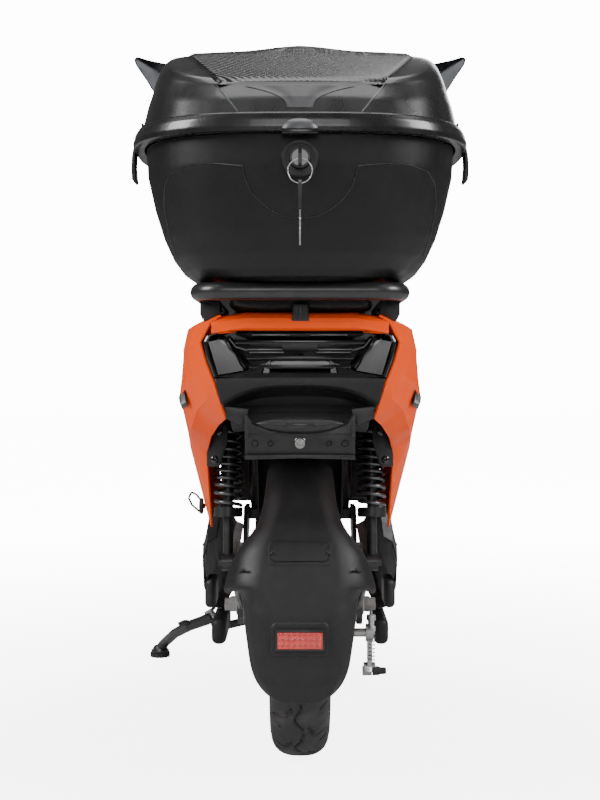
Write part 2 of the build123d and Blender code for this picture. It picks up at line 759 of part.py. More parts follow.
def case_lid():
    """Domed lid with a rim band, hinged at the front."""
    low = case_rim_z + gap
    top = case_rim_z + case_rim_tall
    rows = [(top, 0.985, 0.99, 0), (top + 34, 0.93, 0.95, 0), (top + 80, 0.78, 0.84, 0),
            (case_apex_z - 22, 0.70, 0.78, 0), (case_apex_z, 0.36, 0.52, 0)]
    outer = loft([oval(z, half_w * a, half_l * b) for z, a, b, _ in rows])
    inner = loft([oval(z - case_wall - (1 if z > top else 4), half_w * a, half_l * b, case_wall)
                  for z, a, b, _ in rows])
    lid = outer + extrude(oval(low, half_w, half_l), amount=case_rim_tall)
    lid -= inner
    lid -= extrude(oval(low - 1, half_w - 6, half_l - 6), amount=case_rim_tall - 1)
    for x in (-60 + gap, 30 - gap):
        lid += block(x, x + 30, hinge_y - 14, hinge_y, hinge_z + 1, hinge_z + 10)
        lid += rod_x(x, x + 30, hinge_y, hinge_z, 7)
    return lid - rod_x(-100, 100, hinge_y, hinge_z, 3 + run_fit)


def hinge_pin():
    return rod_x(-91, 91, hinge_y, hinge_z, 3)


def case_lock():
    """Lock barrel in the back of the case."""
    return rod_y(0, case_back_y - 4, case_back_y + 28, lock_z, lock_r) - rod_y(
        0, case_back_y - 5, case_back_y + 29, lock_z, plug_r + run_fit)


key_y = case_back_y - 36
ring_r = 13.3


def lock_key():
    """Turning plug with the key in it."""
    plug = rod_y(0, case_back_y - 5, case_back_y + 26, lock_z, plug_r)
    key = block(-1.1, 1.1, case_back_y - 24, case_back_y - 4, lock_z - 4, lock_z + 4)
    bow = prism_x([(case_back_y - 22, lock_z + 6), (key_y - 6, lock_z + 6), (key_y - 10, lock_z - 2),
                   (key_y - 6, lock_z - 13), (case_back_y - 26, lock_z - 13), (case_back_y - 20, lock_z - 5)],
                  -2, 2)
    bow -= rod_x(-3, 3, key_y, lock_z - 7, 3.2)
    return plug + key + bow


def key_ring():
    plane = Plane(origin=(0, key_y, lock_z - 7 - ring_r), z_dir=(0, 1, 0))
    return plane * Torus(ring_r, 0.9)


spare_top = lock_z - 7 - 2 * ring_r


def spare_key():
    """Second key hanging from the ring."""
    bow = prism_x([(key_y - 9, spare_top + 4), (key_y + 9, spare_top + 4), (key_y + 11, spare_top - 14),
                   (key_y + 6, spare_top - 27), (key_y - 6, spare_top - 27), (key_y - 11, spare_top - 14)],
                  -2.2, 2.2)
    bow -= rod_x(-3, 3, key_y, spare_top, 2.6)
    blade = prism_x([(key_y - 3.5, spare_top - 26), (key_y + 3.5, spare_top - 26), (key_y + 3.5, spare_top - 64),
                     (key_y, spare_top - 69), (key_y - 3.5, spare_top - 64)], -1.1, 1.1)
    return bow + blade


clip_y = -146.0
clip_pin_z = 771.0
clip_pin_x = 208.0


def clip_bracket(side):
    """Bracket on the tub's side that carries one clip's pin."""
    wall = half_w * 0.915
    part = block(wall, clip_pin_x + 4, clip_y - 22, clip_y - 12, clip_pin_z - 6, clip_pin_z + 6)
    part += block(wall, clip_pin_x + 4, clip_y + 12, clip_y + 22, clip_pin_z - 6, clip_pin_z + 6)
    part += rod_y(clip_pin_x, clip_y - 22, clip_y + 22, clip_pin_z, 2.5)
    return part if side > 0 else mirrored(part)


def case_clip(side):
    """Over-centre lever that swings outwards about its pin."""
    lever = rod_y(clip_pin_x, clip_y - 11, clip_y + 11, clip_pin_z, 5.5)
    lever += block(clip_pin_x + 1, clip_pin_x + 6, clip_y - 11, clip_y + 11, clip_pin_z, case_rim_z + 14)
    lever -= rod_y(clip_pin_x, clip_y - 12, clip_y + 12, clip_pin_z, 2.5 + run_fit)
    return lever if side > 0 else mirrored(lever)


# ---- seat ----
def seat_base():
    """Seat pan with two hinge ears at the front."""
    outline = [(-94, seat_back_y), (94, seat_back_y), (112, 160), (112, 420), (70, 545), (50, seat_front_y),
               (-50, seat_front_y), (-70, 545), (-112, 420), (-112, 160)]
    pan = prism_z(outline, seat_base_z, seat_base_z + 8)
    for side in (-1, 1):
        pan += block(*sorted((side * 30, side * 44)), seat_front_y - 30, seat_front_y + 6, seat_base_z - 10,
                     seat_base_z + 2)
    return pan - rod_x(-60, 60, seat_front_y, seat_base_z - 4, 3 + run_fit)


def seat_hinge():
    """Hinge bracket on the body with its pin."""
    ears = block(-29, 29, seat_front_y - 10, seat_front_y + 3.5, seat_base_z - 22, seat_base_z - 4)
    ears += rod_x(-29, 29, seat_front_y, seat_base_z - 4, 3.8)
    ears += rod_x(-50, 50, seat_front_y, seat_base_z - 4, 3)
    ears += block(-29, 29, 478, seat_front_y + 8, seat_base_z - 30, seat_base_z - 21)
    return ears


def seat_cushion():
    """Plain closed form of the rider's cushion."""
    low = seat_base_z + 8.3

    def row(half, high):
        edge = half * 0.8
        return [(-half, low), (half, low), (half + 4, (low + high) / 2), (edge, high), (-edge, high),
                (-half - 4, (low + high) / 2)]

    return skin({seat_back_y + 1: row(92, seat_height - 26), 170: row(110, seat_height - 8),
                 330: row(112, seat_height - 2), 440: row(100, seat_height - 14),
                 seat_front_y - 4: row(50, seat_height - 46)})


# ---- steering, fork and handlebar ----
crown_at = 552.0        # distance of the fork crown up the steering axis
bar_at = bar_z / cos(radians(rake))


def fork_upper():
    """Column, crown and the two stanchions."""
    upper = rod(steering_frame(crown_at), steering_frame(bar_at - 12), column_r)
    upper += rod(steering_frame(crown_at), steering_frame(crown_at + 22), 24)
    for side in (-1, 1):
        x = side * fork_half
        upper += rod(steering_frame(crown_at), steering_frame(crown_at + 22), 20).moved(Pos(x, 0, 0))
        upper += rod(steering_frame(stanchion_low, x), steering_frame(crown_at + 20, x), stanchion_r)
    a = steering_frame(crown_at, 0, -16)
    crown = Plane(origin=a, x_dir=(1, 0, 0), z_dir=Vector(*steering_frame(100)) - Vector(*steering_frame(0)))
    return upper + crown * Pos(0, 0, 11) * Box(2 * fork_half, 26, 22)


slider_top = 452.0
stanchion_low = 320.0
slider_low = axle_z / cos(radians(rake)) - 14


def fork_sliders():
    """Lower legs joined by the axle, with lugs for the caliper and the fender."""
    legs = rod_x(-fork_half - 34, fork_half + 34, wheelbase, axle_z, axle_radius)
    legs += block(disc_x - 15.5, disc_x - 10.8, 1200, 1236, 262, 294)
    for side in (-1, 1):
        x = side * fork_half
        legs += rod(steering_frame(slider_low, x), steering_frame(slider_top, x), slider_r)
        legs += rod_x(x - slider_r - 1, x + slider_r + 1, wheelbase, axle_z, 20)
        legs += rod_x(*sorted((side * 35.5, side * (fork_half - 10))), wheelbase, axle_z, 12)
        legs += rod_x(*sorted((side * (fork_half + 16), side * (fork_half + 26))), wheelbase, axle_z, 12)
        legs += rod_x(*sorted((side * (fender_half - 2.2), x)), 1162, 396, 8)
    for side in (-1, 1):
        x = side * fork_half
        legs -= rod(steering_frame(slider_low + 40, x), steering_frame(slider_top + 1, x),
                    stanchion_r + run_fit)
    return legs


fender_half = 49.0


def front_fender():
    """Channel over the front tyre, held by the sliders."""
    rows = []
    for angle in range(38, 151, 14):
        out = Vector(0, cos(radians(angle)), sin(radians(angle)))
        centre = Vector(0, wheelbase, axle_z)
        r = tyre_radius + 17
        outer = [(-49, r - 26), (-42, r), (42, r), (49, r - 26)]
        inner = [(46, r - 26), (39.5, r - 3), (-39.5, r - 3), (-46, r - 26)]
        points = [tuple(centre + out * d + Vector(x, 0, 0)) for x, d in outer + inner]
        rows.append(make_face(Polyline(*points, close=True)))
    return loft(rows, ruled=True)


def brake_caliper():
    """Two-piston caliper straddling the disc inside the rim."""
    body = block(disc_x - 10.4, disc_x + 14, 1202, 1238, 256, 299)
    body = chamfer(body.edges().filter_by(Axis.X), 5)
    body -= block(disc_x - 3, disc_x + 7, 1201, 1239, 250, 294.5)
    return body


def handlebar():
    """Bent bar with its clamp on the column."""
    y = along_steering(bar_at)[0]
    half = bar_width / 2
    path = [(-half, y - 52, bar_z + 4), (-half + bar_straight, y - 36, bar_z + 8), (-62, y + 6, bar_z - 4),
            (62, y + 6, bar_z - 4), (half - bar_straight, y - 36, bar_z + 8), (half, y - 52, bar_z + 4)]
    bar = bent(path, 40, bar_r)
    clamp = rod(steering_frame(bar_at - 40), steering_frame(bar_at), column_r + 8)
    return bar + clamp - rod(steering_frame(bar_at - 60), steering_frame(bar_at - 12), column_r)


def grip_line(side, start, end):
    """Two points along one end of the handlebar, measured in from its tip."""
    y = along_steering(bar_at)[0]
    half = bar_width / 2
    tip = Vector(side * half, y - 52, bar_z + 4)
    inner = Vector(side * (half - bar_straight), y - 36, bar_z + 8)
    way = (inner - tip).normalized()
    return tuple(tip + way * start), tuple(tip + way * end)


def grip(side, fit):
    """Rubber grip with ribs and a closed end flange."""
    a, b = grip_line(side, -4, grip_len)
    c, d = grip_line(side, -4, 0)
    e, f = grip_line(side, grip_len - 5, grip_len)
    body = rod(a, b, grip_r) + rod(c, d, grip_r + 3) + rod(e, f, grip_r + 4)
    bore_a, bore_b = grip_line(side, -0.4 if fit else 0, grip_len + 1)
    return body - rod(bore_a, bore_b, bar_r + fit)


def lever_pivot(side):
    a, _ = grip_line(side, grip_len + 16, 0)
    return (a[0], a[1] + 34, a[2] + 1)


def switch_pod(side):
    """Clamp with switch case and lever fork, one each side."""
    a, b = grip_line(side, grip_len + 1, grip_len + 30)
    pod = rod(a, b, bar_r + 8) - rod(*grip_line(side, grip_len, grip_len + 32), bar_r)
    x, y, z = lever_pivot(side)
    pod += block(x - 11, x + 11, y - 17, y + 9, z + 6, z + 11)
    pod += block(x - 11, x + 11, y - 17, y + 9, z - 11, z - 6)
    pod += block(x - 11, x + 11, y - 24, y - 14, z - 11, z + 11)
    return pod - rod(*grip_line(side, grip_len, grip_len + 32), bar_r) - rod_z(x, y, z - 12, z + 12, 3)


def brake_lever(side):
    """Blade lever on its pivot, with a ball end."""
    x, y, z = lever_pivot(side)
    tip_x = side * (bar_width / 2 - 2)
    blade = prism_z([(x - side * 6, y + 7), (x - side * 6, y - 6), (x + side * 20, y - 2), (tip_x, y + 2),
                     (tip_x, y + 10), (x + side * 20, y + 10)], z - 4.5, z + 4.5)
    blade += rod_z(tip_x, y + 6, z - 6.5, z + 6.5, 7)
    return blade - rod_z(x, y, z - 10, z + 10, 3 + run_fit)


def lever_pins():
    return [rod_z(lever_pivot(side)[0], lever_pivot(side)[1], lever_pivot(side)[2] - 12,
                  lever_pivot(side)[2] + 12, 3) for side in (-1, 1)]


def horn_button():
    a, b = grip_line(-1, grip_len + 12, grip_len + 20)
    return rod((a[0], a[1] - bar_r - 10.2, a[2]), (a[0], a[1] - bar_r - 14.2, a[2]), 6)


def cowl_rows(inset):
    y = along_steering(bar_at)[0]
    i = inset
    return {y - 42 + i: [(-64 + i, bar_z - 30 + i), (64 - i, bar_z - 30 + i), (52 - i, bar_z + 34 - i),
                         (i - 52, bar_z + 34 - i)],
            y + 20: [(-96 + i, bar_z - 46 + i), (96 - i, bar_z - 46 + i), (76 - i, bar_z + 46 - i),
                     (i - 76, bar_z + 46 - i)],
            y + 92 - i: [(-62 + i, bar_z - 44 + i), (62 - i, bar_z - 44 + i), (50 - i, bar_z + 16 - i),
                         (i - 50, bar_z + 16 - i)]}


def handlebar_cowl():
    """Hollow cover round the middle of the bar."""
    cowl = skin(cowl_rows(0)) - skin(cowl_rows(3))
    y = along_steering(bar_at)[0]
    for side in (-1, 1):
        cowl -= block(*sorted((side * 40, side * 110)), y - 44, y + 22, bar_z - 24, bar_z + 24)
    return cowl - block(-30, 30, y - 20, y + 60, bar_z - 60, bar_z - 30)


def headlamp():
    """Lens of the lamp on the cowl's nose."""
    y = along_steering(bar_at)[0] + 92
    return prism_y([(-50, bar_z - 36), (50, bar_z - 36), (42, bar_z + 8), (-42, bar_z + 8)], y + 0.3, y + 6)


def display():
    y = along_steering(bar_at)[0] - 42
    return block(-40, 40, y - 5, y - 0.3, bar_z - 14, bar_z + 22)


mirror_ball_x = 240.0
mirror_ball_z = 1128.0


def mirror_stem(side):
    """Stem from the lever clamp to the ball behind the mirror."""
    x, y, z = lever_pivot(side)
    run = [(x, y - 4, z + 9), (x, y + 22, z + 34), (side * 204, mirror_y + 42, z + 64),
           (side * mirror_ball_x, mirror_y + 36, mirror_ball_z - 6)]
    stem = bent(run, 14, 5)
    stem += rod((side * mirror_ball_x, mirror_y + 37, mirror_ball_z - 8),
                (side * mirror_ball_x, mirror_y + 27, mirror_ball_z), 4.5)
    return stem + Pos(side * mirror_ball_x, mirror_y + 20, mirror_ball_z) * Sphere(8)


def mirror_outline(side, inset):
    line = [(350, 1186), (300, 1102), (246, 1084), (212, 1100), (203, 1140), (226, 1166), (283, 1173)]
    cx = sum(x for x, _ in line) / len(line)
    cz = sum(z for _, z in line) / len(line)
    out = []
    for x, z in line:
        reach = sqrt((x - cx) ** 2 + (z - cz) ** 2)
        share = 1 - inset / reach
        out.append((side * (cx + (x - cx) * share), cz + (z - cz) * share))
    return out if side > 0 else out[::-1]


def mirror_head(side):
    """Mirror shell with a socket behind for the stem's ball."""
    shell = prism_y(mirror_outline(side, 0), mirror_y - 6, mirror_y + 10)
    shell -= prism_y(mirror_outline(side, 3), mirror_y - 7, mirror_y - 2)
    x = side * mirror_ball_x
    shell += rod_y(x, mirror_y + 9, mirror_y + 22, mirror_ball_z, 13)
    return shell - Pos(x, mirror_y + 20, mirror_ball_z) * Sphere(8 + run_fit)


def mirror_glass(side):
    return prism_y(mirror_outline(side, 3.5), mirror_y - 5, mirror_y - 2)


# ---- front covers ----
def shell_z(rows, thickness):
    """Loft of thick (x, y) lines at heights. A positive wall grows towards +Y."""
    faces = []
    for z, line in sorted(rows.items()):
        closed = [(x, y, z) for x, y in wall_line(line, thickness)]
        faces.append(make_face(Polyline(*closed, close=True)))
    return loft(faces, ruled=True)


def leg_shield():
    """Inner panel facing the rider, bellied over the down tube."""
    rows = {300: [(-150, 862), (-100, 868), (-40, 866), (40, 866), (100, 868), (150, 862)],
            520: [(-172, 912), (-110, 934), (-40, 926), (40, 926), (110, 934), (172, 912)],
            700: [(-162, 892), (-100, 916), (-40, 906), (40, 906), (100, 916), (162, 892)],
            872: [(-116, 868), (-72, 880), (-40, 874), (40, 874), (72, 880), (116, 868)]}
    return shell_z(rows, panel_wall)


def front_apron():
    """Outer shield round the steering head."""
    rows = {548: [(-171, 919), (-150, 990), (-104, 1080), (0, 1142), (104, 1080), (150, 990), (171, 919)],
            705: [(-161, 899), (-138, 964), (-88, 1054), (0, 1112), (88, 1054), (138, 964), (161, 899)],
            872: [(-115, 876), (-96, 920), (-60, 986), (0, 1030), (60, 986), (96, 920), (115, 876)]}
    return shell_z(rows, -panel_wall)


def front_lamps():
    """Turn lamps on both sides of the apron's nose."""
    lamps = []
    for side in (-1, 1):
        lamps.append(block(*sorted((side * 118, side * 128)), 1052, 1072, 606, 650))
    return lamps


def turn_key():
    """Main switch barrel in the leg shield."""
    return rod((60, 860, 780), (60, 893, 786), 11)


def charge_cap():
    """Rubber cap of the charging port with its strap loop."""
    y, z = 84, 330
    cap = rod((-140.5, y, z), (-146.5, y, z), 12) + rod((-138.2, y, z), (-141, y, z), 4)
    strap = rod((-145, y, z + 9), (-156, y, z + 16), 1.6) + rod((-156, y, z + 16), (-161, y - 4, z + 4), 1.6)
    return cap + strap + rod((-161, y - 4, z + 4), (-146, y - 2, z - 8), 1.6)


def side_badges():
    """Plain pressed trims on the side panels."""
    rows = {-98: [(153.4, 486), (148.8, 472), (150.8, 471.4), (155.4, 485.4)],
            -42: [(163.1, 488), (159.4, 474), (161.4, 473.4), (165.1, 487.4)]}
    return pair(skin(rows))


def panel_screws():
    """Screws of the liners, the plate bracket and the carrier plate."""
    screws = []
    for x in (-plate_pitch_x / 2, plate_pitch_x / 2):
        for y in (-135 - plate_pitch_y / 2, -135 + plate_pitch_y / 2):
            screws.append(rod_z(x, y, 623, 633.4, 3) + rod_z(x, y, 622.4, 625, 6))
    for side in (-1, 1):
        for x, z in ((115, 407), (109, 445)):
            screws.append(rod_y(side * x, -53.6, -51.2, z, 5))
    screws.append(rod_y(0, -255, -252, plate_hole_z, 6))
    return screws


# ---- side stand ----
def stand_swing():
    """Turning axis of the stand, square to its leg when down and when folded."""
    down = Vector(stand_foot_x - stand_x, stand_foot_y - stand_y, 10 - stand_z)
    folded = Vector(-28, -165, 14)
    return down.cross(folded).normalized()


def side_stand():
    """Leg with its pivot eye and a foot plate."""
    way = stand_swing()
    centre = Vector(stand_x, stand_y, stand_z)
    eye = rod(tuple(centre - way * eye_half), tuple(centre + way * eye_half), 14)
    knee = Vector(stand_x - 48, stand_y + 30, stand_z - 28)
    out = (knee - centre).normalized()
    foot = (stand_foot_x, stand_foot_y, 20)
    leg = rod(tuple(centre + out * 12), tuple(knee), 8.5) + Pos(*knee) * Sphere(8.5)
    leg += rod(tuple(knee), foot, 8.5)
    leg += rod_z(stand_foot_x, stand_foot_y, 8, 22, 12)
    return leg + eye - rod(tuple(centre - way * 14), tuple(centre + way * 14), 6 + run_fit)


eye_half = 9.0


def stand_foot():
    """Ribbed rubber foot under the leg."""
    foot = rod_z(stand_foot_x, stand_foot_y, 0, 8, stand_foot_r)
    for index in range(12):
        angle = 2 * pi * index / 12
        notch = rod_z(stand_foot_x + stand_foot_r * cos(angle), stand_foot_y + stand_foot_r * sin(angle),
                      -1, 9, 1.6)
        foot -= notch
    return foot


def stand_bolt():
    """Pivot bolt of the side stand with a washer at each side."""
    way = stand_swing()
    centre = Vector(stand_x, stand_y, stand_z)
    bolt = rod(tuple(centre - way * 14), tuple(centre + way * 14), 6)
    bolt += rod(tuple(centre + way * (eye_half + 0.4)), tuple(centre + way * 14), 11)
    return bolt + rod(tuple(centre - way * 14), tuple(centre - way * (eye_half + 0.4)), 11)


def build():
    keep("main_frame", main_frame(), *head_bearings())
    keep("fasteners", pivot_bolt(), stand_bolt(), hinge_pin(), seat_hinge(), *panel_screws())
    keep("floor_tray", tray())
    keep("floor_mat", floor_mat())
    keep("side_skirts", side_skirt(1), side_skirt(-1))
    panel = body_panel()
    keep("body_panels", panel, mirrored(panel), tail_top_cover())
    keep("lamp_housing", lamp_housing())
    keep("lamp_lenses", lamp_lens(), plate_lamp())
    keep("tail_lower_cover", tail_lower_cover())
    keep("wheel_liners", side_liner(1), side_liner(-1), inner_fender(), foot_well())
    keep("plate_bracket", plate_bracket())
    keep("battery_pack", battery_pack())
    keep("motor_controller", controller())
    keep("rear_rack", rear_rack())
    keep("tail_pad", tail_pad())
    keep("mount_plate", mount_plate())
    keep("case_tub", case_tub(), case_lock())
    keep("charge_cap", charge_cap())
    keep("side_trims", *side_badges())
    keep("leg_shield", leg_shield(), turn_key())
    keep("front_apron", front_apron(), *front_lamps())
    keep("case_lid", case_lid())
    keep("lock_key", lock_key())
    keep("key_ring", key_ring())
    keep("spare_key", spare_key())
    keep("seat_base", seat_base())
    keep("seat_cushion", seat_cushion())
    keep("fork_upper", fork_upper())
    keep("handlebar", handlebar())
    keep("handlebar_cowl", handlebar_cowl(), display())
    keep("headlamp", headlamp())
    keep("left_grip", grip(-1, 0))
    keep("throttle_grip", grip(1, run_fit))
    keep("switch_pods", switch_pod(-1), switch_pod(1), mirror_stem(-1), mirror_stem(1), *lever_pins())
    keep("horn_button", horn_button())
    for side, word in ((-1, "left"), (1, "right")):
        keep("clip_" + word, case_clip(side))
        keep("lever_" + word, brake_lever(side))
        keep("mirror_" + word, mirror_head(side), mirror_glass(side))
    keep("fork_sliders", fork_sliders())
    keep("front_fender", front_fender())
    keep("brake_caliper", brake_caliper())
    keep("front_tyre", tyre(wheelbase))
    keep("front_rim", front_rim(), *wheel_bearings(wheelbase, (-34, 34 - bearing_width)))
    keep("brake_disc", brake_disc())
    keep("swingarm", swingarm())
    keep("rear_mudguard", rear_mudguard())
    keep("rear_reflector", rear_reflector())
    keep("rear_axle", *rear_axle(), motor_stator())
    keep("brake_plate", brake_plate(), *brake_shoes())
    keep("brake_arm", brake_arm())
    keep("rear_tyre", tyre(0))
    keep("hub_motor", hub_motor(), *wheel_bearings(0, (-hub_face - bearing_width / 2,
                                                       drum_floor - bearing_width + hub_wall)))
    keep("shock_uppers", shock_upper(-shock_x), shock_upper(shock_x))
    keep("shock_lowers", shock_lower(-shock_x), shock_lower(shock_x))
    keep("shock_springs", shock_spring(-shock_x), shock_spring(shock_x))
    keep("side_stand", side_stand())
    keep("stand_foot", stand_foot())


def solids_of(items):
    """Flatten shapes into their single solids."""
    found = []
    for item in items:
        found += item.solids() if hasattr(item, "solids") else [item]
    return found


build()
boxes = [Compound(solids_of(items)).bounding_box() for items in nodes.values()]
origin_y = (min(box.min.Y for box in boxes) + max(box.max.Y for box in boxes)) / 2
os.makedirs("parts", exist_ok=True)
for name, items in nodes.items():
    whole = Compound(solids_of(items)).moved(Pos(0, -origin_y, 0))
    whole.label = name
    export_step(whole, "parts/" + name + ".step")
print("nodes", len(nodes), "origin_y", round(origin_y, 3))
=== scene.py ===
# Moped scooter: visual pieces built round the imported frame.
import math

import bmesh
import bpy
import numpy as np
from mathutils.bvhtree import BVHTree
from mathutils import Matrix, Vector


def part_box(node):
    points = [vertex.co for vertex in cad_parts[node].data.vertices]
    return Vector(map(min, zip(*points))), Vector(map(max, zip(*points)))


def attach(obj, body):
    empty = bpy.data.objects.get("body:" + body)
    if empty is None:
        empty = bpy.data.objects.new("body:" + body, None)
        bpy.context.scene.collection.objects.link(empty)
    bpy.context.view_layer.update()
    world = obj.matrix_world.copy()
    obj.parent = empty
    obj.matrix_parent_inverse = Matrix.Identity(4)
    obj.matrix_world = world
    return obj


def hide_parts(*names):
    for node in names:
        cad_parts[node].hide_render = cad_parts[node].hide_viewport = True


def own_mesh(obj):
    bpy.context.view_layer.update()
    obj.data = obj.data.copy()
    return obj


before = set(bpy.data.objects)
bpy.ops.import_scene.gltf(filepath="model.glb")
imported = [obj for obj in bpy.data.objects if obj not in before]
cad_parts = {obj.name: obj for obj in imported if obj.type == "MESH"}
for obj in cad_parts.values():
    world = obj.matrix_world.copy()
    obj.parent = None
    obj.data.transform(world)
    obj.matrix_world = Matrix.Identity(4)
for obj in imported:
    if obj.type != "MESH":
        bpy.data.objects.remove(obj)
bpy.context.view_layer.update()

print("stage: frame loaded,", len(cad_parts), "nodes")

mm = 0.001
tyreLow, tyreHigh = (np.array(corner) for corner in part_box("rear_tyre"))
axle = (tyreLow + tyreHigh) / 2                 # middle of the rear wheel, every piece is placed from it
wheelRadius = (tyreHigh[2] - tyreLow[2]) / 2
frontLow, frontHigh = (np.array(corner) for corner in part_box("front_tyre"))
frontAxle = (frontLow + frontHigh) / 2


# Mesh helpers: a shape is a grid of points, computed as whole arrays.
def place(points):
    # millimetres ahead of the rear axle and above the ground become metres in the frame
    out = np.array(points, dtype=float) * mm
    out[..., 1] += axle[1]
    return out


def gridFaces(rows, cols, wrapRows=False, wrapCols=False, first=0, flip=False):
    # quads between neighbouring grid points, row by row
    r = np.arange(rows if wrapRows else rows - 1)
    c = np.arange(cols if wrapCols else cols - 1)
    r, c = np.meshgrid(r, c, indexing="ij")
    r2 = (r + 1) % rows
    c2 = (c + 1) % cols
    quads = np.stack([r * cols + c, r * cols + c2, r2 * cols + c2, r2 * cols + c], axis=-1).reshape(-1, 4)
    return (quads[:, ::-1] if flip else quads) + first


def makeObject(name, points, faces, smooth=True, sharp=35):
    mesh = bpy.data.meshes.new(name)
    mesh.from_pydata(points.reshape(-1, 3).tolist(), [], [list(map(int, face)) for face in faces])
    mesh.update()
    obj = bpy.data.objects.new(name, mesh)
    bpy.context.collection.objects.link(obj)
    if smooth:
        mesh.shade_smooth()
        mesh.set_sharp_from_angle(angle=math.radians(sharp))
    return obj


def outward(obj):
    # closed shape: weld doubles and point every face away from the inside
    work = bmesh.new()
    work.from_mesh(obj.data)
    bmesh.ops.remove_doubles(work, verts=work.verts, dist=0.00001)
    bmesh.ops.recalc_face_normals(work, faces=work.faces)
    work.to_mesh(obj.data)
    work.free()
    return obj


def surface(name, points, wrapRows=False, wrapCols=False, capEnds=False, thick=0, sharp=35, flip=False):
    # a sheet or tube through a grid of points (rows x cols x 3, millimetres)
    grid = place(points)
    rows, cols = grid.shape[:2]
    faces = [tuple(q) for q in gridFaces(rows, cols, wrapRows, wrapCols, flip=flip)]
    if capEnds:
        faces.append(tuple(range(cols))[::-1] if not flip else tuple(range(cols)))
        last = tuple(range((rows - 1) * cols, rows * cols))
        faces.append(last if not flip else last[::-1])
    obj = makeObject(name, grid, faces, sharp=sharp)
    if capEnds and wrapCols:
        outward(obj)
    if thick:
        solid = obj.modifiers.new("wall", "SOLIDIFY")
        solid.thickness = thick * mm
        solid.offset = -1
        solid.use_even_offset = True
    return obj


def resample(points, count, closed=False):
    # evenly spaced points along a line of straight runs
    pts = np.array(points, dtype=float)
    if closed:
        pts = np.vstack([pts, pts[:1]])
    step = np.linalg.norm(np.diff(pts, axis=0), axis=1)
    along = np.concatenate([[0], np.cumsum(step)])
    want = np.linspace(0, along[-1], count, endpoint=not closed)
    return np.stack([np.interp(want, along, pts[:, k]) for k in range(pts.shape[1])], axis=-1)


def smoothLine(points, count, closed=False, passes=3, keep=40):
    # the same line with its corners rounded by repeated averaging of neighbours
    line = resample(points, keep * len(points), closed)
    for _ in range(passes * keep // 4):
        before = np.roll(line, 1, axis=0)
        after = np.roll(line, -1, axis=0)
        mixed = (before + 2 * line + after) / 4
        if not closed:
            mixed[0], mixed[-1] = line[0], line[-1]
        line = mixed
    return resample(line, count, closed)


def tube(name, path, radius, sides=20, closed=False, sharp=40):
    # round section carried along a path: each ring stands square to the path's tangent
    path = np.array(path, dtype=float)
    ahead = np.roll(path, -1, axis=0) - np.roll(path, 1, axis=0)
    if not closed:
        ahead[0], ahead[-1] = path[1] - path[0], path[-1] - path[-2]
    ahead /= np.linalg.norm(ahead, axis=1, keepdims=True)
    up = np.tile([0.13, 0.09, 1.0], (len(path), 1))
    side = np.cross(ahead, up)
    steep = np.linalg.norm(side, axis=1) < 0.3
    side[steep] = np.cross(ahead[steep], [1.0, 0.2, 0.1])
    side /= np.linalg.norm(side, axis=1, keepdims=True)
    lift = np.cross(side, ahead)
    turn = np.linspace(0, 2 * np.pi, sides, endpoint=False)
    radii = np.broadcast_to(np.array(radius, dtype=float), (len(path),))
    ring = path[:, None, :] + radii[:, None, None] * (np.cos(turn)[None, :, None] * side[:, None, :]
                                                      + np.sin(turn)[None, :, None] * lift[:, None, :])
    return surface(name, ring, wrapRows=closed, wrapCols=True, capEnds=not closed, sharp=sharp)


def lathe(name, profile, centre, axis="x", steps=96, wave=None, sharp=35):
    # an (along, radius) outline turned about an axis; wave may change each point's radius by place
    line = np.array(profile, dtype=float)
    turn = np.linspace(0, 2 * np.pi, steps, endpoint=False)
    along = np.repeat(line[None, :, 0], steps, axis=0)
    reach = np.repeat(line[None, :, 1], steps, axis=0)
    angle = np.repeat(turn[:, None], len(line), axis=1)
    if wave is not None:
        reach = reach + wave(along, reach, angle)
    one, two = reach * np.cos(angle), reach * np.sin(angle)
    parts = {"x": (along, one, two), "y": (one, along, two), "z": (one, two, along)}[axis]
    grid = np.stack(parts, axis=-1) + np.array(centre, dtype=float)
    obj = surface(name, grid, wrapRows=True, wrapCols=True, sharp=sharp)
    return outward(obj)


def box(name, x0, x1, y0, y1, z0, z1, bevel=1.0, segments=2):
    # a moulded block with rounded edges
    x0, x1 = sorted((x0, x1))
    pts = np.array([[x, y, z] for x in (x0, x1) for y in (y0, y1) for z in (z0, z1)], dtype=float)
    faces = [(0, 1, 3, 2), (4, 6, 7, 5), (0, 4, 5, 1), (2, 3, 7, 6), (0, 2, 6, 4), (1, 5, 7, 3)]
    obj = makeObject(name, place(pts), faces, sharp=60)
    if bevel:
        soft = obj.modifiers.new("edge", "BEVEL")
        soft.width = bevel * mm
        soft.segments = segments
        soft.harden_normals = True
    return obj


def plate(name, outline, y0, y1, bevel=1.0):
    # an (x, z) outline with a thickness along Y
    line = np.array(outline, dtype=float)
    count = len(line)
    front = np.column_stack([line[:, 0], np.full(count, y0), line[:, 1]])
    back = np.column_stack([line[:, 0], np.full(count, y1), line[:, 1]])
    faces = [tuple(range(count)), tuple(range(count, 2 * count))[::-1]]
    faces += [(k, k + count, (k + 1) % count + count, (k + 1) % count) for k in range(count)]
    obj = outward(makeObject(name, place(np.vstack([front, back])), faces, sharp=40))
    if bevel:
        soft = obj.modifiers.new("edge", "BEVEL")
        soft.width = bevel * mm
        soft.segments = 2
        soft.limit_method = "ANGLE"
        soft.harden_normals = True
    return obj


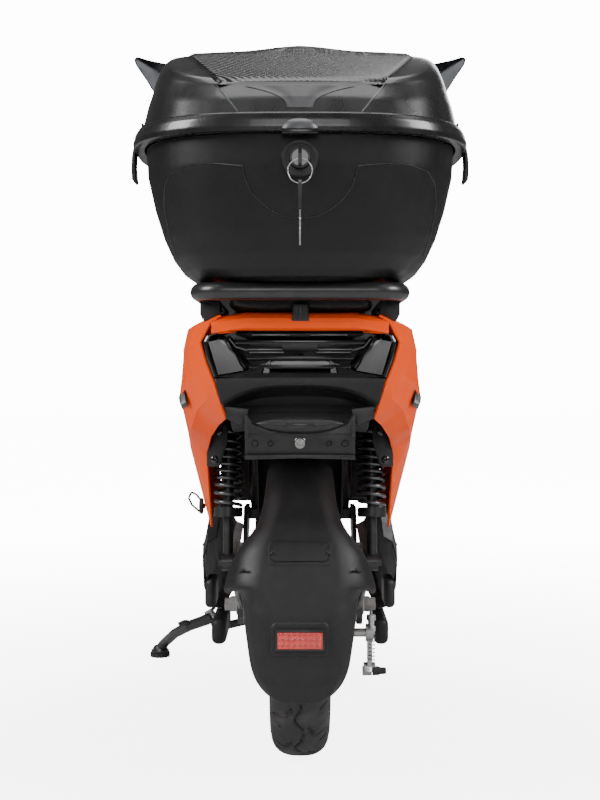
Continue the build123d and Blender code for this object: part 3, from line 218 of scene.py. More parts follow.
def join(name, parts):
    # several shapes become one piece, with their modifiers applied
    graph = bpy.context.evaluated_depsgraph_get()
    graph.update()
    points, faces, first = [], [], 0
    slots, marks = [], []
    for part in parts:
        shaped = part.evaluated_get(graph).to_mesh()
        count = len(shaped.vertices)
        co = np.empty(count * 3)
        shaped.vertices.foreach_get("co", co)
        points.append(co.reshape(-1, 3))
        for face in shaped.polygons:
            faces.append([v + first for v in face.vertices])
            marks.append(len(slots))
        slots.append(part.data.materials[0] if part.data.materials else None)
        first += count
        part.evaluated_get(graph).to_mesh_clear()
    obj = makeObject(name, np.vstack(points), faces, sharp=36)
    used = [s for k, s in enumerate(slots) if s is not None and s not in slots[:k]]
    for material in used:
        obj.data.materials.append(material)
    if used:
        index = [used.index(slots[m]) if slots[m] is not None else 0 for m in marks]
        obj.data.polygons.foreach_set("material_index", index)
    for part in parts:
        bpy.data.objects.remove(part)
    return obj


def mirrorOf(obj, name):
    # the same piece on the other side, with its faces turned back outwards
    copy = obj.copy()
    copy.data = obj.data.copy()
    copy.name = name
    bpy.context.collection.objects.link(copy)
    count = len(copy.data.vertices)
    co = np.empty(count * 3)
    copy.data.vertices.foreach_get("co", co)
    co[0::3] *= -1
    copy.data.vertices.foreach_set("co", co)
    copy.data.flip_normals()
    copy.data.update()
    return copy


def paint(obj, *names):
    # adds finishes to a shape by name and hands the shape back
    for name in names:
        obj.data.materials.append(finishes[name])
    return obj


def dress(obj, material, body, *replaced, slot=None):
    # finish, body and the plain nodes that the piece stands for
    if material is not None:
        obj.data.materials.clear()
        obj.data.materials.append(material)
    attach(obj, body)
    if replaced:
        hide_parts(*replaced)
    return obj


# Finishes: every one varies in tint, gloss and height over the object's own coordinates.
def finish(name, colour, rough, metal=0.0, grain=900, bump=0.08, tint=0.15, roughSpread=0.08, coat=0.0,
           coatRough=0.05, specular=0.5, scratch=0.0, grime=0.0, sheen=0.0):
    mat = bpy.data.materials.new(name)
    mat.use_nodes = True
    nodes, links = mat.node_tree.nodes, mat.node_tree.links
    shader = nodes["Principled BSDF"]
    shader.inputs["Metallic"].default_value = metal
    shader.inputs["Specular IOR Level"].default_value = specular
    shader.inputs["Coat Weight"].default_value = coat
    shader.inputs["Coat Roughness"].default_value = coatRough
    shader.inputs["Sheen Weight"].default_value = sheen
    where = nodes.new("ShaderNodeTexCoord")

    def noise(scale, detail=4, stretch=None):
        tex = nodes.new("ShaderNodeTexNoise")
        tex.inputs["Scale"].default_value = scale
        tex.inputs["Detail"].default_value = detail
        if stretch:
            turn = nodes.new("ShaderNodeMapping")
            turn.inputs["Scale"].default_value = stretch
            links.new(where.outputs["Object"], turn.inputs["Vector"])
            links.new(turn.outputs["Vector"], tex.inputs["Vector"])
        else:
            links.new(where.outputs["Object"], tex.inputs["Vector"])
        return tex.outputs["Fac"]

    def ramp(value, low, high, start=0.3, stop=0.7):
        band = nodes.new("ShaderNodeMapRange")
        band.inputs["From Min"].default_value = start
        band.inputs["From Max"].default_value = stop
        band.inputs["To Min"].default_value = low
        band.inputs["To Max"].default_value = high
        links.new(value, band.inputs["Value"])
        return band.outputs["Result"]

    cloud = noise(9, 5)
    mix = nodes.new("ShaderNodeMix")
    mix.data_type = "RGBA"
    links.new(ramp(cloud, 0, 1), mix.inputs["Factor"])
    base = np.array(colour)
    mix.inputs["A"].default_value = (*(base * (1 - tint)), 1)
    mix.inputs["B"].default_value = (*np.clip(base * (1 + tint), 0, 1), 1)
    tone = mix.outputs["Result"]
    if grime:
        dust = nodes.new("ShaderNodeMix")
        dust.data_type = "RGBA"
        dust.inputs["B"].default_value = (0.16, 0.15, 0.14, 1)
        links.new(tone, dust.inputs["A"])
        links.new(ramp(noise(32, 6), 0, grime, 0.52, 0.8), dust.inputs["Factor"])
        tone = dust.outputs["Result"]
    links.new(tone, shader.inputs["Base Color"])
    smear = ramp(noise(27, 6, (1, 1, 0.35)), rough - roughSpread, rough + roughSpread)
    links.new(smear, shader.inputs["Roughness"])
    height = nodes.new("ShaderNodeBump")
    height.inputs["Strength"].default_value = bump
    height.inputs["Distance"].default_value = 0.0006
    links.new(noise(grain, 3), height.inputs["Height"])
    last = height
    if scratch:
        lines = nodes.new("ShaderNodeBump")
        lines.inputs["Strength"].default_value = scratch
        lines.inputs["Distance"].default_value = 0.0003
        links.new(noise(60, 6, (1, 22, 22)), lines.inputs["Height"])
        links.new(height.outputs["Normal"], lines.inputs["Normal"])
        last = lines
    links.new(last.outputs["Normal"], shader.inputs["Normal"])
    return mat


def addPattern(mat, kind, scale, strength, depth=0.0008, turn=(0, 0, 0), stretch=(1, 1, 1), tone=None):
    # a woven, pebbled, ribbed or prismatic height pattern over the fine grain
    nodes, links = mat.node_tree.nodes, mat.node_tree.links
    shader = nodes["Principled BSDF"]
    where = nodes.new("ShaderNodeTexCoord")
    turned = nodes.new("ShaderNodeMapping")
    turned.inputs["Rotation"].default_value = turn
    turned.inputs["Scale"].default_value = stretch
    links.new(where.outputs["Object"], turned.inputs["Vector"])
    if kind == "pebble":
        tex = nodes.new("ShaderNodeTexVoronoi")
        tex.feature = "SMOOTH_F1"
        tex.inputs["Scale"].default_value = scale
        value = tex.outputs["Distance"]
    elif kind == "rib":
        tex = nodes.new("ShaderNodeTexWave")
        tex.inputs["Scale"].default_value = scale
        tex.inputs["Distortion"].default_value = 0
        value = tex.outputs["Fac"]
    else:
        tex = nodes.new("ShaderNodeTexChecker")
        tex.inputs["Scale"].default_value = scale
        value = tex.outputs["Fac"]
    links.new(turned.outputs["Vector"], tex.inputs["Vector"])
    lift = nodes.new("ShaderNodeBump")
    lift.inputs["Strength"].default_value = strength
    lift.inputs["Distance"].default_value = depth
    before = shader.inputs["Normal"].links[0].from_socket
    links.new(before, lift.inputs["Normal"])
    links.new(value, lift.inputs["Height"])
    links.new(lift.outputs["Normal"], shader.inputs["Normal"])
    if tone:
        blend = nodes.new("ShaderNodeMix")
        blend.data_type = "RGBA"
        blend.inputs["B"].default_value = (*tone, 1)
        links.new(value, blend.inputs["Factor"])
        links.new(shader.inputs["Base Color"].links[0].from_socket, blend.inputs["A"])
        links.new(blend.outputs["Result"], shader.inputs["Base Color"])
    return mat


finishes = {
    "orangePaint": finish("orangePaint", (1.0, 0.082, 0.0), 0.46, coat=0.05, tint=0.05, bump=0.03, grain=1500,
                          specular=0.08),
    "blackSatin": finish("blackSatin", (0.010, 0.010, 0.0105), 0.42, bump=0.18, grain=1300, tint=0.25,
                         grime=0.06),
    "blackGloss": finish("blackGloss", (0.008, 0.008, 0.009), 0.16, coat=0.5, bump=0.03, tint=0.2, grain=700),
    "mudguardPlastic": finish("mudguardPlastic", (0.009, 0.009, 0.0095), 0.46, bump=0.3, grain=1500,
                              tint=0.22,
                              grime=0.03, specular=0.38),
    "caseShell": finish("caseShell", (0.0055, 0.0055, 0.006), 0.42, bump=0.35, grain=1700, tint=0.2,
                        grime=0.015,
                        specular=0.32),
    "caseRim": finish("caseRim", (0.007, 0.007, 0.0075), 0.26, coat=0.25, bump=0.08, grain=1200, tint=0.2),
    "lidGloss": finish("lidGloss", (0.007, 0.007, 0.0075), 0.30, coat=0.25, bump=0.08, grain=900, tint=0.25),
    "latchGrey": finish("latchGrey", (0.055, 0.056, 0.058), 0.38, bump=0.12, grain=1200, tint=0.15),
    "rubber": finish("rubber", (0.013, 0.013, 0.013), 0.72, bump=0.35, grain=1100, tint=0.3, grime=0.18),
    "tyreRubber": finish("tyreRubber", (0.012, 0.012, 0.0125), 0.62, bump=0.4, grain=800, tint=0.35,
                         grime=0.3),
    "framePaint": finish("framePaint", (0.013, 0.013, 0.014), 0.36, coat=0.2, bump=0.15, grain=600, tint=0.25,
                         grime=0.08),
    "castAlloy": finish("castAlloy", (0.03, 0.03, 0.032), 0.45, metal=0.5, bump=0.35, grain=700, tint=0.25,
                        grime=0.1),
    "brightAlloy": finish("brightAlloy", (0.52, 0.52, 0.53), 0.38, metal=1.0, bump=0.2, grain=500, tint=0.15,
                          scratch=0.15),
    "zincSteel": finish("zincSteel", (0.38, 0.38, 0.37), 0.34, metal=1.0, bump=0.1, grain=900, tint=0.2,
                        scratch=0.3),
    "chromeTrim": finish("chromeTrim", (0.82, 0.83, 0.84), 0.24, metal=1.0, bump=0.05, grain=900, tint=0.1),
    "springSteel": finish("springSteel", (0.12, 0.12, 0.125), 0.3, metal=0.8, bump=0.1, grain=900, tint=0.2),
    "seatVinyl": finish("seatVinyl", (0.013, 0.013, 0.014), 0.50, bump=0.2, grain=900, tint=0.2, sheen=0.1),
    "padVinyl": finish("padVinyl", (0.012, 0.012, 0.013), 0.52, bump=0.2, grain=900, tint=0.2),
    "smokedLens": finish("smokedLens", (0.003, 0.003, 0.0035), 0.22, coat=0.3, bump=0.02, grain=60, tint=0.1),
    "lampGrey": finish("lampGrey", (0.016, 0.016, 0.017), 0.34, metal=0.3, coat=0.3, bump=0.1, grain=300,
                       tint=0.3),
    # lighter grey that paints the highlights of the tail lamp's dark glass
    "ledGrey": finish("ledGrey", (0.085, 0.082, 0.08), 0.25, coat=0.5, bump=0.05, grain=300, tint=0.3),
    "redReflector": finish("redReflector", (0.62, 0.022, 0.012), 0.18, coat=0.8, bump=0.05, grain=200,
                           tint=0.25),
    "mirrorGlass": finish("mirrorGlass", (0.05, 0.052, 0.055), 0.08, metal=1.0, bump=0.01, grain=60,
                          tint=0.04),
    "batteryCase": finish("batteryCase", (0.035, 0.037, 0.045), 0.55, bump=0.3, grain=900, tint=0.2),
    "clearLens": finish("clearLens", (0.62, 0.64, 0.66), 0.06, coat=1.0, bump=0.05, grain=120, tint=0.1),
    "screenGlass": finish("screenGlass", (0.012, 0.016, 0.02), 0.08, coat=1.0, bump=0.02, grain=120,
                          tint=0.3),
    "amberLens": finish("amberLens", (0.85, 0.28, 0.02), 0.12, coat=0.8, bump=0.05, grain=120, tint=0.15),
    "lidInset": finish("lidInset", (0.032, 0.032, 0.034), 0.42, bump=0.2, grain=700, tint=0.35),
    "carbonRib": finish("carbonRib", (0.006, 0.006, 0.0065), 0.24, coat=0.3, bump=0.1, grain=900, tint=0.3),
}
addPattern(finishes["seatVinyl"], "pebble", 520, 0.35)
addPattern(finishes["padVinyl"], "pebble", 520, 0.3)
addPattern(finishes["caseShell"], "pebble", 900, 0.10, 0.0004)
addPattern(finishes["mudguardPlastic"], "pebble", 1100, 0.12, 0.0004)
addPattern(finishes["redReflector"], "check", 210, 0.5, 0.0012, turn=(0.0, 0.785, 0.0),
           tone=(0.42, 0.012, 0.008))
addPattern(finishes["clearLens"], "rib", 60, 0.5, 0.001)
addPattern(finishes["amberLens"], "rib", 60, 0.5, 0.001)
print("stage:", len(finishes), "finishes")


# CAD nodes that stay as they are take their finish.
keptNodes = {
    "framePaint": ["main_frame", "fork_upper", "handlebar", "swingarm", "shock_uppers", "shock_lowers",
                   "rear_rack"],
    "blackGloss": ["lock_key"],
    "zincSteel": ["fasteners", "rear_axle", "brake_disc", "brake_arm"],
    "blackSatin": ["wheel_liners", "floor_tray", "switch_pods", "seat_base", "mount_plate"],
    "rubber": ["floor_mat", "left_grip", "throttle_grip", "stand_foot"],
    "castAlloy": ["motor_controller", "fork_sliders", "brake_plate", "hub_motor", "front_rim", "lever_left",
                  "lever_right"],
    "brightAlloy": ["brake_caliper"],
    "batteryCase": ["battery_pack"],
    "redReflector": ["horn_button"],
}


def coat(nodeName, material):
    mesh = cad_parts[nodeName].data
    mesh.materials.clear()
    mesh.materials.append(material)


for finishName, nodeNames in keptNodes.items():
    for nodeName in nodeNames:
        coat(nodeName, finishes[finishName])




# Top case: a tub of stacked ovals and a lid with a ribbed panel.
case = {
    "middle": -140.0,                        # centre of the ovals, behind the axle
    "squareness": 3.0,                       # 2 is an ellipse, higher is boxier
    # height, half width and half length of the tub's ovals
    "tub": [(799, 192, 179), (765, 190, 178), (725, 181, 171), (690, 170, 164), (664, 158, 158),
            (648, 146, 151), (638, 132, 142), (633, 116, 130), (632, 92, 108)],
    "rim": [(799.5, 204, 187), (800.5, 207.5, 189.5), (806, 208.5, 190), (815, 206, 189),
            (820.5, 202.5, 187.5),
            (822.5, 199, 185)],
    "band": [(822, 197, 184), (842, 191, 176), (858, 184.5, 167), (861, 183.5, 165.5)],
    "sideLift": 13.0,                        # the crease rises towards the sides
    "rearSlope": 0.50,
    "roof": 925.0,
    "hump": 21.0,
    "ribPitch": 7.4,                         # across the scooter
    "ribHeight": 2.2,
}


def ovalRing(half, length, count=144, power=None):
    # superellipse: x and y are signed powers of cosine and sine
    power = 2 / (power or case["squareness"])
    turn = np.linspace(0, 2 * np.pi, count, endpoint=False)
    c, s = np.cos(turn), np.sin(turn)
    return half * np.abs(c) ** power * np.sign(c), case["middle"] + length * np.abs(s) ** power * np.sign(s)


def ovalStack(rows, steps=6, lift=0.0, liftFrom=None):
    # ovals at rising heights, eased between the listed rows
    rows = np.array(rows, dtype=float)
    at = np.linspace(0, len(rows) - 1, (len(rows) - 1) * steps + 1)
    z, half, length = (np.interp(at, np.arange(len(rows)), rows[:, k]) for k in range(3))
    grid = []
    for zi, ai, bi in zip(z, half, length):
        x, y = ovalRing(ai, bi)
        up = 0 if liftFrom is None else lift * np.clip((zi - liftFrom[0]) / (liftFrom[1] - liftFrom[0]), 0, 1)
        side = np.clip((np.abs(x) / ai - 0.52) / 0.42, 0, 1)
        grid.append(np.stack([x, y, zi + up * side * side * (3 - 2 * side)], axis=-1))
    return np.array(grid)


def rearWall(part, x, z):
    # y of the rear wall at a place across and up: the superellipse solved for its length
    rows = np.array(sorted(case[part]))
    half = np.interp(z, rows[:, 0], rows[:, 1])
    length = np.interp(z, rows[:, 0], rows[:, 2])
    n = case["squareness"]
    return case["middle"] - length * (1 - np.clip(np.abs(x) / half, 0, 0.999) ** n) ** (1 / n)


def buildTub():
    # the outer wall of ovals, an inner one drawn in from it, and a floor
    wall = ovalStack(case["tub"], 7)
    inner = wall.copy()
    inner[..., 0] *= 0.985
    inner[..., 1] = case["middle"] + (inner[..., 1] - case["middle"]) * 0.983
    inner[..., 2] = np.maximum(inner[..., 2], 637)
    floorRing = wall[-1].copy()
    floorRing[:, :2] = floorRing[:, :2] * 0.02 + np.array([0, case["middle"]]) * 0.98
    innerFloor = floorRing.copy()
    innerFloor[:, 2] = 637
    grid = np.concatenate([innerFloor[None], inner[::-1], wall, floorRing[None]])
    return surface("caseTubShell", grid, wrapCols=True, capEnds=False, sharp=50)


def ridgeOnTub(points):
    # a fine raised line laid on the rear wall through (x, z) points
    line = smoothLine(points, 60)
    path = np.stack([line[:, 0], rearWall("tub", line[:, 0], line[:, 1]) - 0.1, line[:, 1]], axis=-1)
    return tube("ridge", path, 0.8, 8)


def buildTubRidges():
    # a rounded panel at each side and a bowl round the lock
    side = [(-66, 762), (-100, 766), (-127, 766), (-150, 761), (-160, 748), (-163, 728), (-158, 690),
            (-151, 668)]
    turn = np.radians(np.linspace(186, 354, 40))
    bowl = np.column_stack([66 * np.cos(turn), 769 + 66 * np.sin(turn)])
    lines = (side, np.array(side) * [-1, 1], bowl)
    return join("caseTubRidges", [paint(ridgeOnTub(line), "caseRim") for line in lines])


def lidHeight(x, y):
    # soft minimum of four rules: steep sides, sloping rear and front, a nearly flat roof with a hump
    last = case["band"][-1]
    n = case["squareness"]
    reach = (np.abs(x / last[1]) ** n + np.abs((y - case["middle"]) / last[2]) ** n) ** (1 / n)
    side = np.clip((np.abs(x) / np.maximum(reach, 0.01) / last[1] - 0.52) / 0.42, 0, 1)
    side = np.maximum(side, 1 - 4 * reach)
    foot = last[0] + case["sideLift"] * side * side * (3 - 2 * side)
    inward = np.clip(1 - reach, 0, 1)
    steep = foot + 62 * (1 - np.exp(-inward * 9.5)) + 14 * inward
    rear = last[0] + case["rearSlope"] * (y - case["middle"] + last[2])
    front = last[0] + 1.1 * (case["middle"] + last[2] - y)
    middle = np.clip(1 - np.abs(x) / 74, 0, 1)
    roof = case["roof"] + 12 * (1 - np.abs(x) / 150)
    roof = roof + (case["hump"] - 12) * middle * middle * (3 - 2 * middle)
    roof = roof - 0.0009 * (y - case["middle"]) ** 2
    sharp = 5.0
    heights = np.stack([steep, rear, front, roof])
    low = heights.min(axis=0)
    return low - sharp * np.log(np.exp(-(heights - low) / sharp).sum(axis=0)) + sharp * 0.15


def buildLidDome():
    # rim, band and roof as shrinking ovals, with an inner skin three millimetres below
    last = case["band"][-1]
    rings = []
    for share in np.concatenate([np.linspace(1, 0.8, 16), np.linspace(0.78, 0.0005, 26)]):
        x, y = ovalRing(last[1] * share, last[2] * share)
        z = lidHeight(x, y)
        if share == 1:
            side = np.clip((np.abs(x) / last[1] - 0.52) / 0.42, 0, 1)
            z = last[0] + case["sideLift"] * side * side * (3 - 2 * side)
        rings.append(np.stack([x, y, z], axis=-1))
    band = ovalStack(case["band"], 5, case["sideLift"], (822, 861))
    rim = ovalStack(case["rim"], 4)
    under = rim[:1].copy()
    under[..., 0] *= 0.955
    under[..., 1] = case["middle"] + (under[..., 1] - case["middle"]) * 0.955
    outerShell = np.concatenate([under, rim, band, np.array(rings)])
    innerShell = np.concatenate([band, np.array(rings)]).copy()
    innerShell[..., 0] *= 0.978
    innerShell[..., 1] = case["middle"] + (innerShell[..., 1] - case["middle"]) * 0.976
    innerShell[..., 2] -= 3
    grid = np.concatenate([innerShell[::-1], outerShell])
    return paint(surface("caseLidShell", grid, wrapCols=True, sharp=24), "lidGloss", "caseRim")


def buildRibbedPanel():
    # fine grid over the sloping rear panel and roof, raised in slanting ribs
    t = np.linspace(0, 1, 255)
    s = np.linspace(-1, 1, 380)
    last = case["band"][-1]
    y = case["middle"] - last[2] + 3 + t * 222
    half = 96 + 46 * np.clip(t / 0.46, 0, 1) ** 0.85 - 20 * np.clip((t - 0.6) / 0.4, 0, 1)
    x = s[None, :] * half[:, None]
    y = np.repeat(y[:, None], len(s), axis=1)
    z = lidHeight(x, y)
    # ribs run slantwise down the slope, a little flatter towards the right
    phase = (x + 1.06 * (y - case["middle"]) + 0.0012 * x * x) * np.pi / case["ribPitch"]
    rib = np.abs(np.sin(phase)) ** 1.2
    edge = np.clip((1 - np.abs(s)) * 16, 0, 1)[None, :] * np.clip(t * 40, 0, 1)[:, None]
    edge = edge * np.clip((1 - t) * 30, 0, 1)[:, None]
    grid = np.stack([x, y, z + 0.8 - 1.4 * (1 - edge) + case["ribHeight"] * rib * edge], axis=-1)
    return surface("caseRibbedPanel", grid, flip=True, sharp=180)


def buildLidTrim():
    # two raised lines down the band and a funnel-shaped inset between them
    parts = []
    for sign in (-1, 1):
        z = np.linspace(860, 823, 24)
        x = sign * np.interp(z, [823, 860], [71, 98])
        line = np.stack([x, rearWall("band", x, z) - 0.2, z], axis=-1)
        parts.append(paint(tube("line", line, 0.9, 8), "latchGrey"))
    t = np.linspace(0, 1, 30)[:, None]
    s = np.linspace(-1, 1, 60)[None, :]
    z = 856 - 28 * t + 0 * s
    x = s * (15 + 50 * (1 - t) ** 2.4)
    inset = np.stack([x, rearWall("band", x, z) - 0.5 + 0.35 * np.cos(s * 9) * (1 - t), z], axis=-1)
    parts.append(paint(surface("inset", inset, flip=True, sharp=180), "lidInset"))
    return join("caseLidTrim", parts)


def buildLatchDome():
    # half dome over the lock, its width and depth falling away upwards
    u = np.linspace(0, np.pi, 40)[:, None]
    v = np.linspace(0, 1, 16)[None, :]
    half, tall, deep = 21.5, 13.0, 9.0
    fall = np.cos(v * np.pi / 2) ** 0.8
    x = half * np.cos(u) * fall ** 0.9
    y = rearWall("tub", 0, 799) - 8 - deep * np.sin(u) * fall
    z = 801.5 + tall * np.sin(v * np.pi / 2) + 0 * u
    dome = surface("dome", np.stack([x, y, z], axis=-1), flip=False, sharp=60)
    lip = box("lip", -21, 21, rearWall("tub", 0, 799) - 18, rearWall("tub", 0, 799) - 4, 795.5, 801.8, 1.5)
    return join("caseLatch", [paint(dome, "latchGrey"), paint(lip, "caseRim")])


lock = {
    "height": 769.0,
    # place along Y and radius, turned about the barrel
    "profile": [(-318, 21.5), (-330, 21.5), (-332.5, 20), (-332, 17), (-330, 16.8), (-329.5, 13),
                (-334, 12.4),
                (-335.5, 11.5), (-335.5, 9.7), (-318, 9.7)],
}


def buildLockTrim():
    return lathe("caseLockSurround", lock["profile"], (0, 0, lock["height"]), axis="y", steps=64, sharp=30)


dress(buildTub(), finishes["caseShell"], "body", "case_tub", slot="case_plastic")
dress(buildTubRidges(), None, "body")
lidShell = buildLidDome()
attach(lidShell, "lid")
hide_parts("case_lid")
dress(buildRibbedPanel(), finishes["carbonRib"], "lid")
dress(buildLidTrim(), None, "lid")
dress(buildLatchDome(), None, "lid")
dress(buildLockTrim(), finishes["blackSatin"], "body")
print("stage: top case")


# Orange tail: folded side panels, the band over the lamp and the pressed trims.
tail = {
    # place along Y, then (x, z) of the six folds from the top edge to the bottom edge
    "folds": {-237: [(96, 595), (108, 588), (122, 562), (115, 538), (109, 522), (104, 510)],
              -200: [(108, 595), (130, 584), (138, 557), (129, 522), (114, 492), (92, 467)],
              -150: [(117, 595), (143, 580), (149, 553), (147, 512), (131, 478), (104, 457)],
              -100: [(117, 595), (146, 578), (153, 549), (157, 500), (143, 453), (117, 439)],
              -40: [(117, 595), (147, 577), (157, 546), (164, 493), (151, 438), (127, 414)],
              60: [(117, 594), (148, 575), (158, 545), (166, 488), (158, 418), (128, 302)],
              200: [(117, 591), (146, 573), (158, 540), (164, 470), (157, 400), (138, 302)],
              330: [(117, 583), (140, 563), (153, 525), (159, 455), (153, 385), (140, 301)],
              470: [(108, 567), (124, 549), (138, 505), (146, 440), (145, 375), (138, 301)]},
    "wall": 2.6,
}


def foldGrid(folds, perBay=6):
    # straight runs between folds and between stations, with more points near every fold
    places = sorted(folds)
    corners = np.array([[(x, spot, z) for x, z in folds[spot]] for spot in places], dtype=float)
    ease = np.array([0.0, 0.08, 0.5, 0.92])
    rows = np.concatenate([k + ease for k in range(corners.shape[1] - 1)] + [[corners.shape[1] - 1]])
    cols = np.concatenate([k + np.linspace(0, 1, perBay, endpoint=False) for k in range(len(places) - 1)]
                          + [[len(places) - 1]])
    low = np.clip(cols.astype(int), 0, len(places) - 2)
    share = (cols - low)[:, None, None]
    along = corners[low] * (1 - share) + corners[low + 1] * share
    low = np.clip(rows.astype(int), 0, corners.shape[1] - 2)
    share = (rows - low)[None, :, None]
    return along[:, low] * (1 - share) + along[:, low + 1] * share


def buildSidePanel(name):
    grid = foldGrid(tail["folds"])
    panel = surface(name, grid, thick=tail["wall"], sharp=12, flip=False)
    soft = panel.modifiers.new("edge", "BEVEL")
    soft.width = 0.0011
    soft.segments = 2
    soft.limit_method = "ANGLE"
    soft.angle_limit = math.radians(38)
    return panel


def buildBand():
    # section of the band swept across: flat top, rounded nose, a shallow groove and a tucked lower lip
    section = np.array([(-176, 596), (-214, 596.4), (-228, 595.6), (-235, 593.4), (-238.4, 589.6),
                        (-239, 586),
                        (-237.6, 585.2), (-237.6, 584.2), (-239.2, 583.4), (-239.6, 579.4), (-237, 577),
                        (-228, 576.4), (-216, 578)])
    x = np.linspace(-107, 107, 90)
    share = np.abs(x) / 107
    arch = -7.5 * np.clip((share - 0.62) / 0.38, 0, 1) ** 1.3
    back = 1.5 * share ** 2
    grid = np.stack([np.repeat(x[:, None], len(section), axis=1),
                     section[None, :, 0] + back[:, None],
                     section[None, :, 1] + arch[:, None]
                     * np.clip((section[None, :, 1] - 570) / 12, 0.35, 1)], axis=-1)
    return surface("tailBand", grid, sharp=20, thick=2.0, flip=True)


def buildTrim():
    # chrome bar on a dark base, laid on the panel's widest fold
    base = np.array([[(147.6, -136, 503), (144.6, -136, 482)], [(162.6, -52, 497), (159.4, -52, 475)]])
    face = np.array([[(147.6, -134, 499), (145.6, -134, 486)], [(161.8, -56, 493), (159.6, -56, 480)]])

    def pillow(corners, lift, name, material, rows=10, cols=22, depth=2.0):
        t = np.linspace(0, 1, cols)[:, None, None]
        s = np.linspace(0, 1, rows)[None, :, None]
        flat = (corners[0, 0] * (1 - t) * (1 - s) + corners[0, 1] * (1 - t) * s
                + corners[1, 0] * t * (1 - s) + corners[1, 1] * t * s)
        swell = (np.clip(np.minimum(t, 1 - t) * 9, 0, 1) * np.clip(np.minimum(s, 1 - s) * 4, 0, 1)) ** 0.5
        flat = flat + np.array([0.96, -0.2, 0.1]) * (lift + depth * swell)
        made = surface(name, flat, sharp=180, flip=False)
        made.data.materials.append(material)
        return made

    parts = [pillow(base, 0.15, "trimBase", finishes["blackSatin"]),
             pillow(face, 1.6, "trimFace", finishes["chromeTrim"], depth=1.6)]
    return join("sideTrimRight", parts)


panelRight = buildSidePanel("sidePanelRight")
paint(panelRight, "orangePaint")
panelLeft = mirrorOf(panelRight, "sidePanelLeft")
dress(panelRight, None, "body", "body_panels", slot="orange_gloss")
dress(panelLeft, None, "body", slot="orange_gloss")
dress(buildBand(), finishes["orangePaint"], "body")
trimRight = buildTrim()
trimLeft = mirrorOf(trimRight, "sideTrimLeft")
dress(trimRight, None, "body", "side_trims")
dress(trimLeft, None, "body")


# Tail lamp: dark glass over faceted side reflectors, and two rows of lighter grey bars that paint the glass's
# highlights.
lamp = {
    "outline": [(-96, 575.5), (96, 575.5), (112, 570), (116.5, 561), (113, 543), (104, 519), (-104, 519),
                (-113, 543), (-116.5, 561), (-112, 570)],
    # share of the outline and place along Y of each ring of the dish
    "dish": [(1.0, -228), (1.0, -238.2), (0.985, -239.4), (0.965, -238.4), (0.945, -231), (0.93, -222),
             (0.90, -212), (0.5, -208), (0.04, -208)],
}


def buildLampBack():
    # shallow dish: the outline drawn in rings that move forward and shrink
    rings = []
    line = resample(lamp["outline"], 200, closed=True)
    centre = np.array([0, 547.0])
    for share, y in lamp["dish"]:
        ring = centre + (line - centre) * share
        rings.append(np.column_stack([ring[:, 0], np.full(len(ring), y), ring[:, 1]]))
    return paint(surface("lampDish", np.array(rings), wrapCols=True, sharp=28, flip=True), "blackGloss")


def facetPanel(name, corners, finishName, rows, cols, lift):
    # a four-cornered reflector broken into shallow facets that lean different ways
    corners = np.array(corners, dtype=float)
    t = np.linspace(0, 1, cols + 1)[:, None, None]
    s = np.linspace(0, 1, rows + 1)[None, :, None]
    flat = (corners[0] * (1 - t) * (1 - s) + corners[1] * t * (1 - s) + corners[2] * t * s
            + corners[3] * (1 - t) * s)
    step = np.indices(flat.shape[:2]).sum(axis=0) % 2
    flat[..., 1] += lift * step
    made = surface(name, flat, sharp=1, flip=True)
    for face in made.data.polygons:
        face.use_smooth = False
    return paint(made, finishName)


lampFacets = [
    # four corners at the right-hand side, finish, rows and columns of facets, how far they stand out
    ([(111, -236, 562), (91, -222, 567), (66, -216, 528), (99, -235, 522)], "lampGrey", 4, 2, 1.4),
    ([(90, -222, 568), (82, -214, 566), (60, -212, 534), (66, -218, 527)], "blackGloss", 1, 1, 0),
    ([(88, -234, 521.5), (48, -232, 522), (42, -222, 536), (58, -222, 529)], "lampGrey", 2, 2, 0.8),
    # the small ramp at the inner end is painted the same lighter grey as the painted highlights
    ([(46, -230, 521), (38, -226, 521), (36, -216, 541), (42, -220, 536)], "ledGrey", 1, 1, 0),
]


def buildLampInside():
    # both sides' facets and the lighter grey bars of painted highlight, then the dark shelves across the
    # middle
    parts = []
    for side in (-1, 1):
        for corners, *look in lampFacets:
            parts.append(facetPanel("facet", np.array(corners) * [side, 1, 1], *look))
        # painted highlights of the lamp's glass: thin lighter grey bars in rows, and an arm of the same grey
        # at the side
        for z, y, low, high in ((570.5, -233, 12, 58), (553, -226, 22, 64), (549.5, -224, 20, 62)):
            seam = box("paintedHighlightBar", side * low, side * high, y - 1.2, y + 4, z - 0.8, z + 0.8, 0.4)
            parts.append(paint(seam, "ledGrey"))
        arm = tube("paintedHighlightBar", [(side * 64, -225, 552), (side * 78, -224, 556), (side * 86, -226, 566)], 1.0, 8)
        parts.append(paint(arm, "ledGrey"))
    for z, y, half, tall in ((562, -220, 80, 5), (543, -216, 66, 4), (532, -219, 62, 5)):
        bar = box("shelf", -half, half, y - 4, y + 8, z - tall / 2, z + tall / 2, 1.2)
        parts.append(paint(bar, "smokedLens"))
    return parts


dress(join("tailLamp", [buildLampBack(), *buildLampInside()]), None, "body", "lamp_housing", "lamp_lenses",
      slot="smoked_lens")


# Cover under the lamp: a bulged band, an arch and the dished panel that runs down to the plate bracket.
lowerCover = {
    # half width, y and z at the middle, drop of the row at its ends, power of that drop
    "rows": [(102, -226, 523, 2, 2), (104, -238, 520, 1.5, 2), (103, -242.5, 517.5, 1.5, 2),
             (101, -243.5, 513, 3, 2), (96, -243, 511, 22, 3.2), (94, -240.5, 509, 23, 3.2),
             (93, -231, 507, 24, 3.2), (91, -219, 497, 17, 3.0), (89, -216, 486, 8, 3.0),
             (87, -222, 476, 4, 2.0), (85, -236, 470.5, 2, 2.0), (83, -242, 468, 3, 2.0),
             (82, -236, 462, 4, 2.0), (80, -224, 458, 4, 2.0)],
}


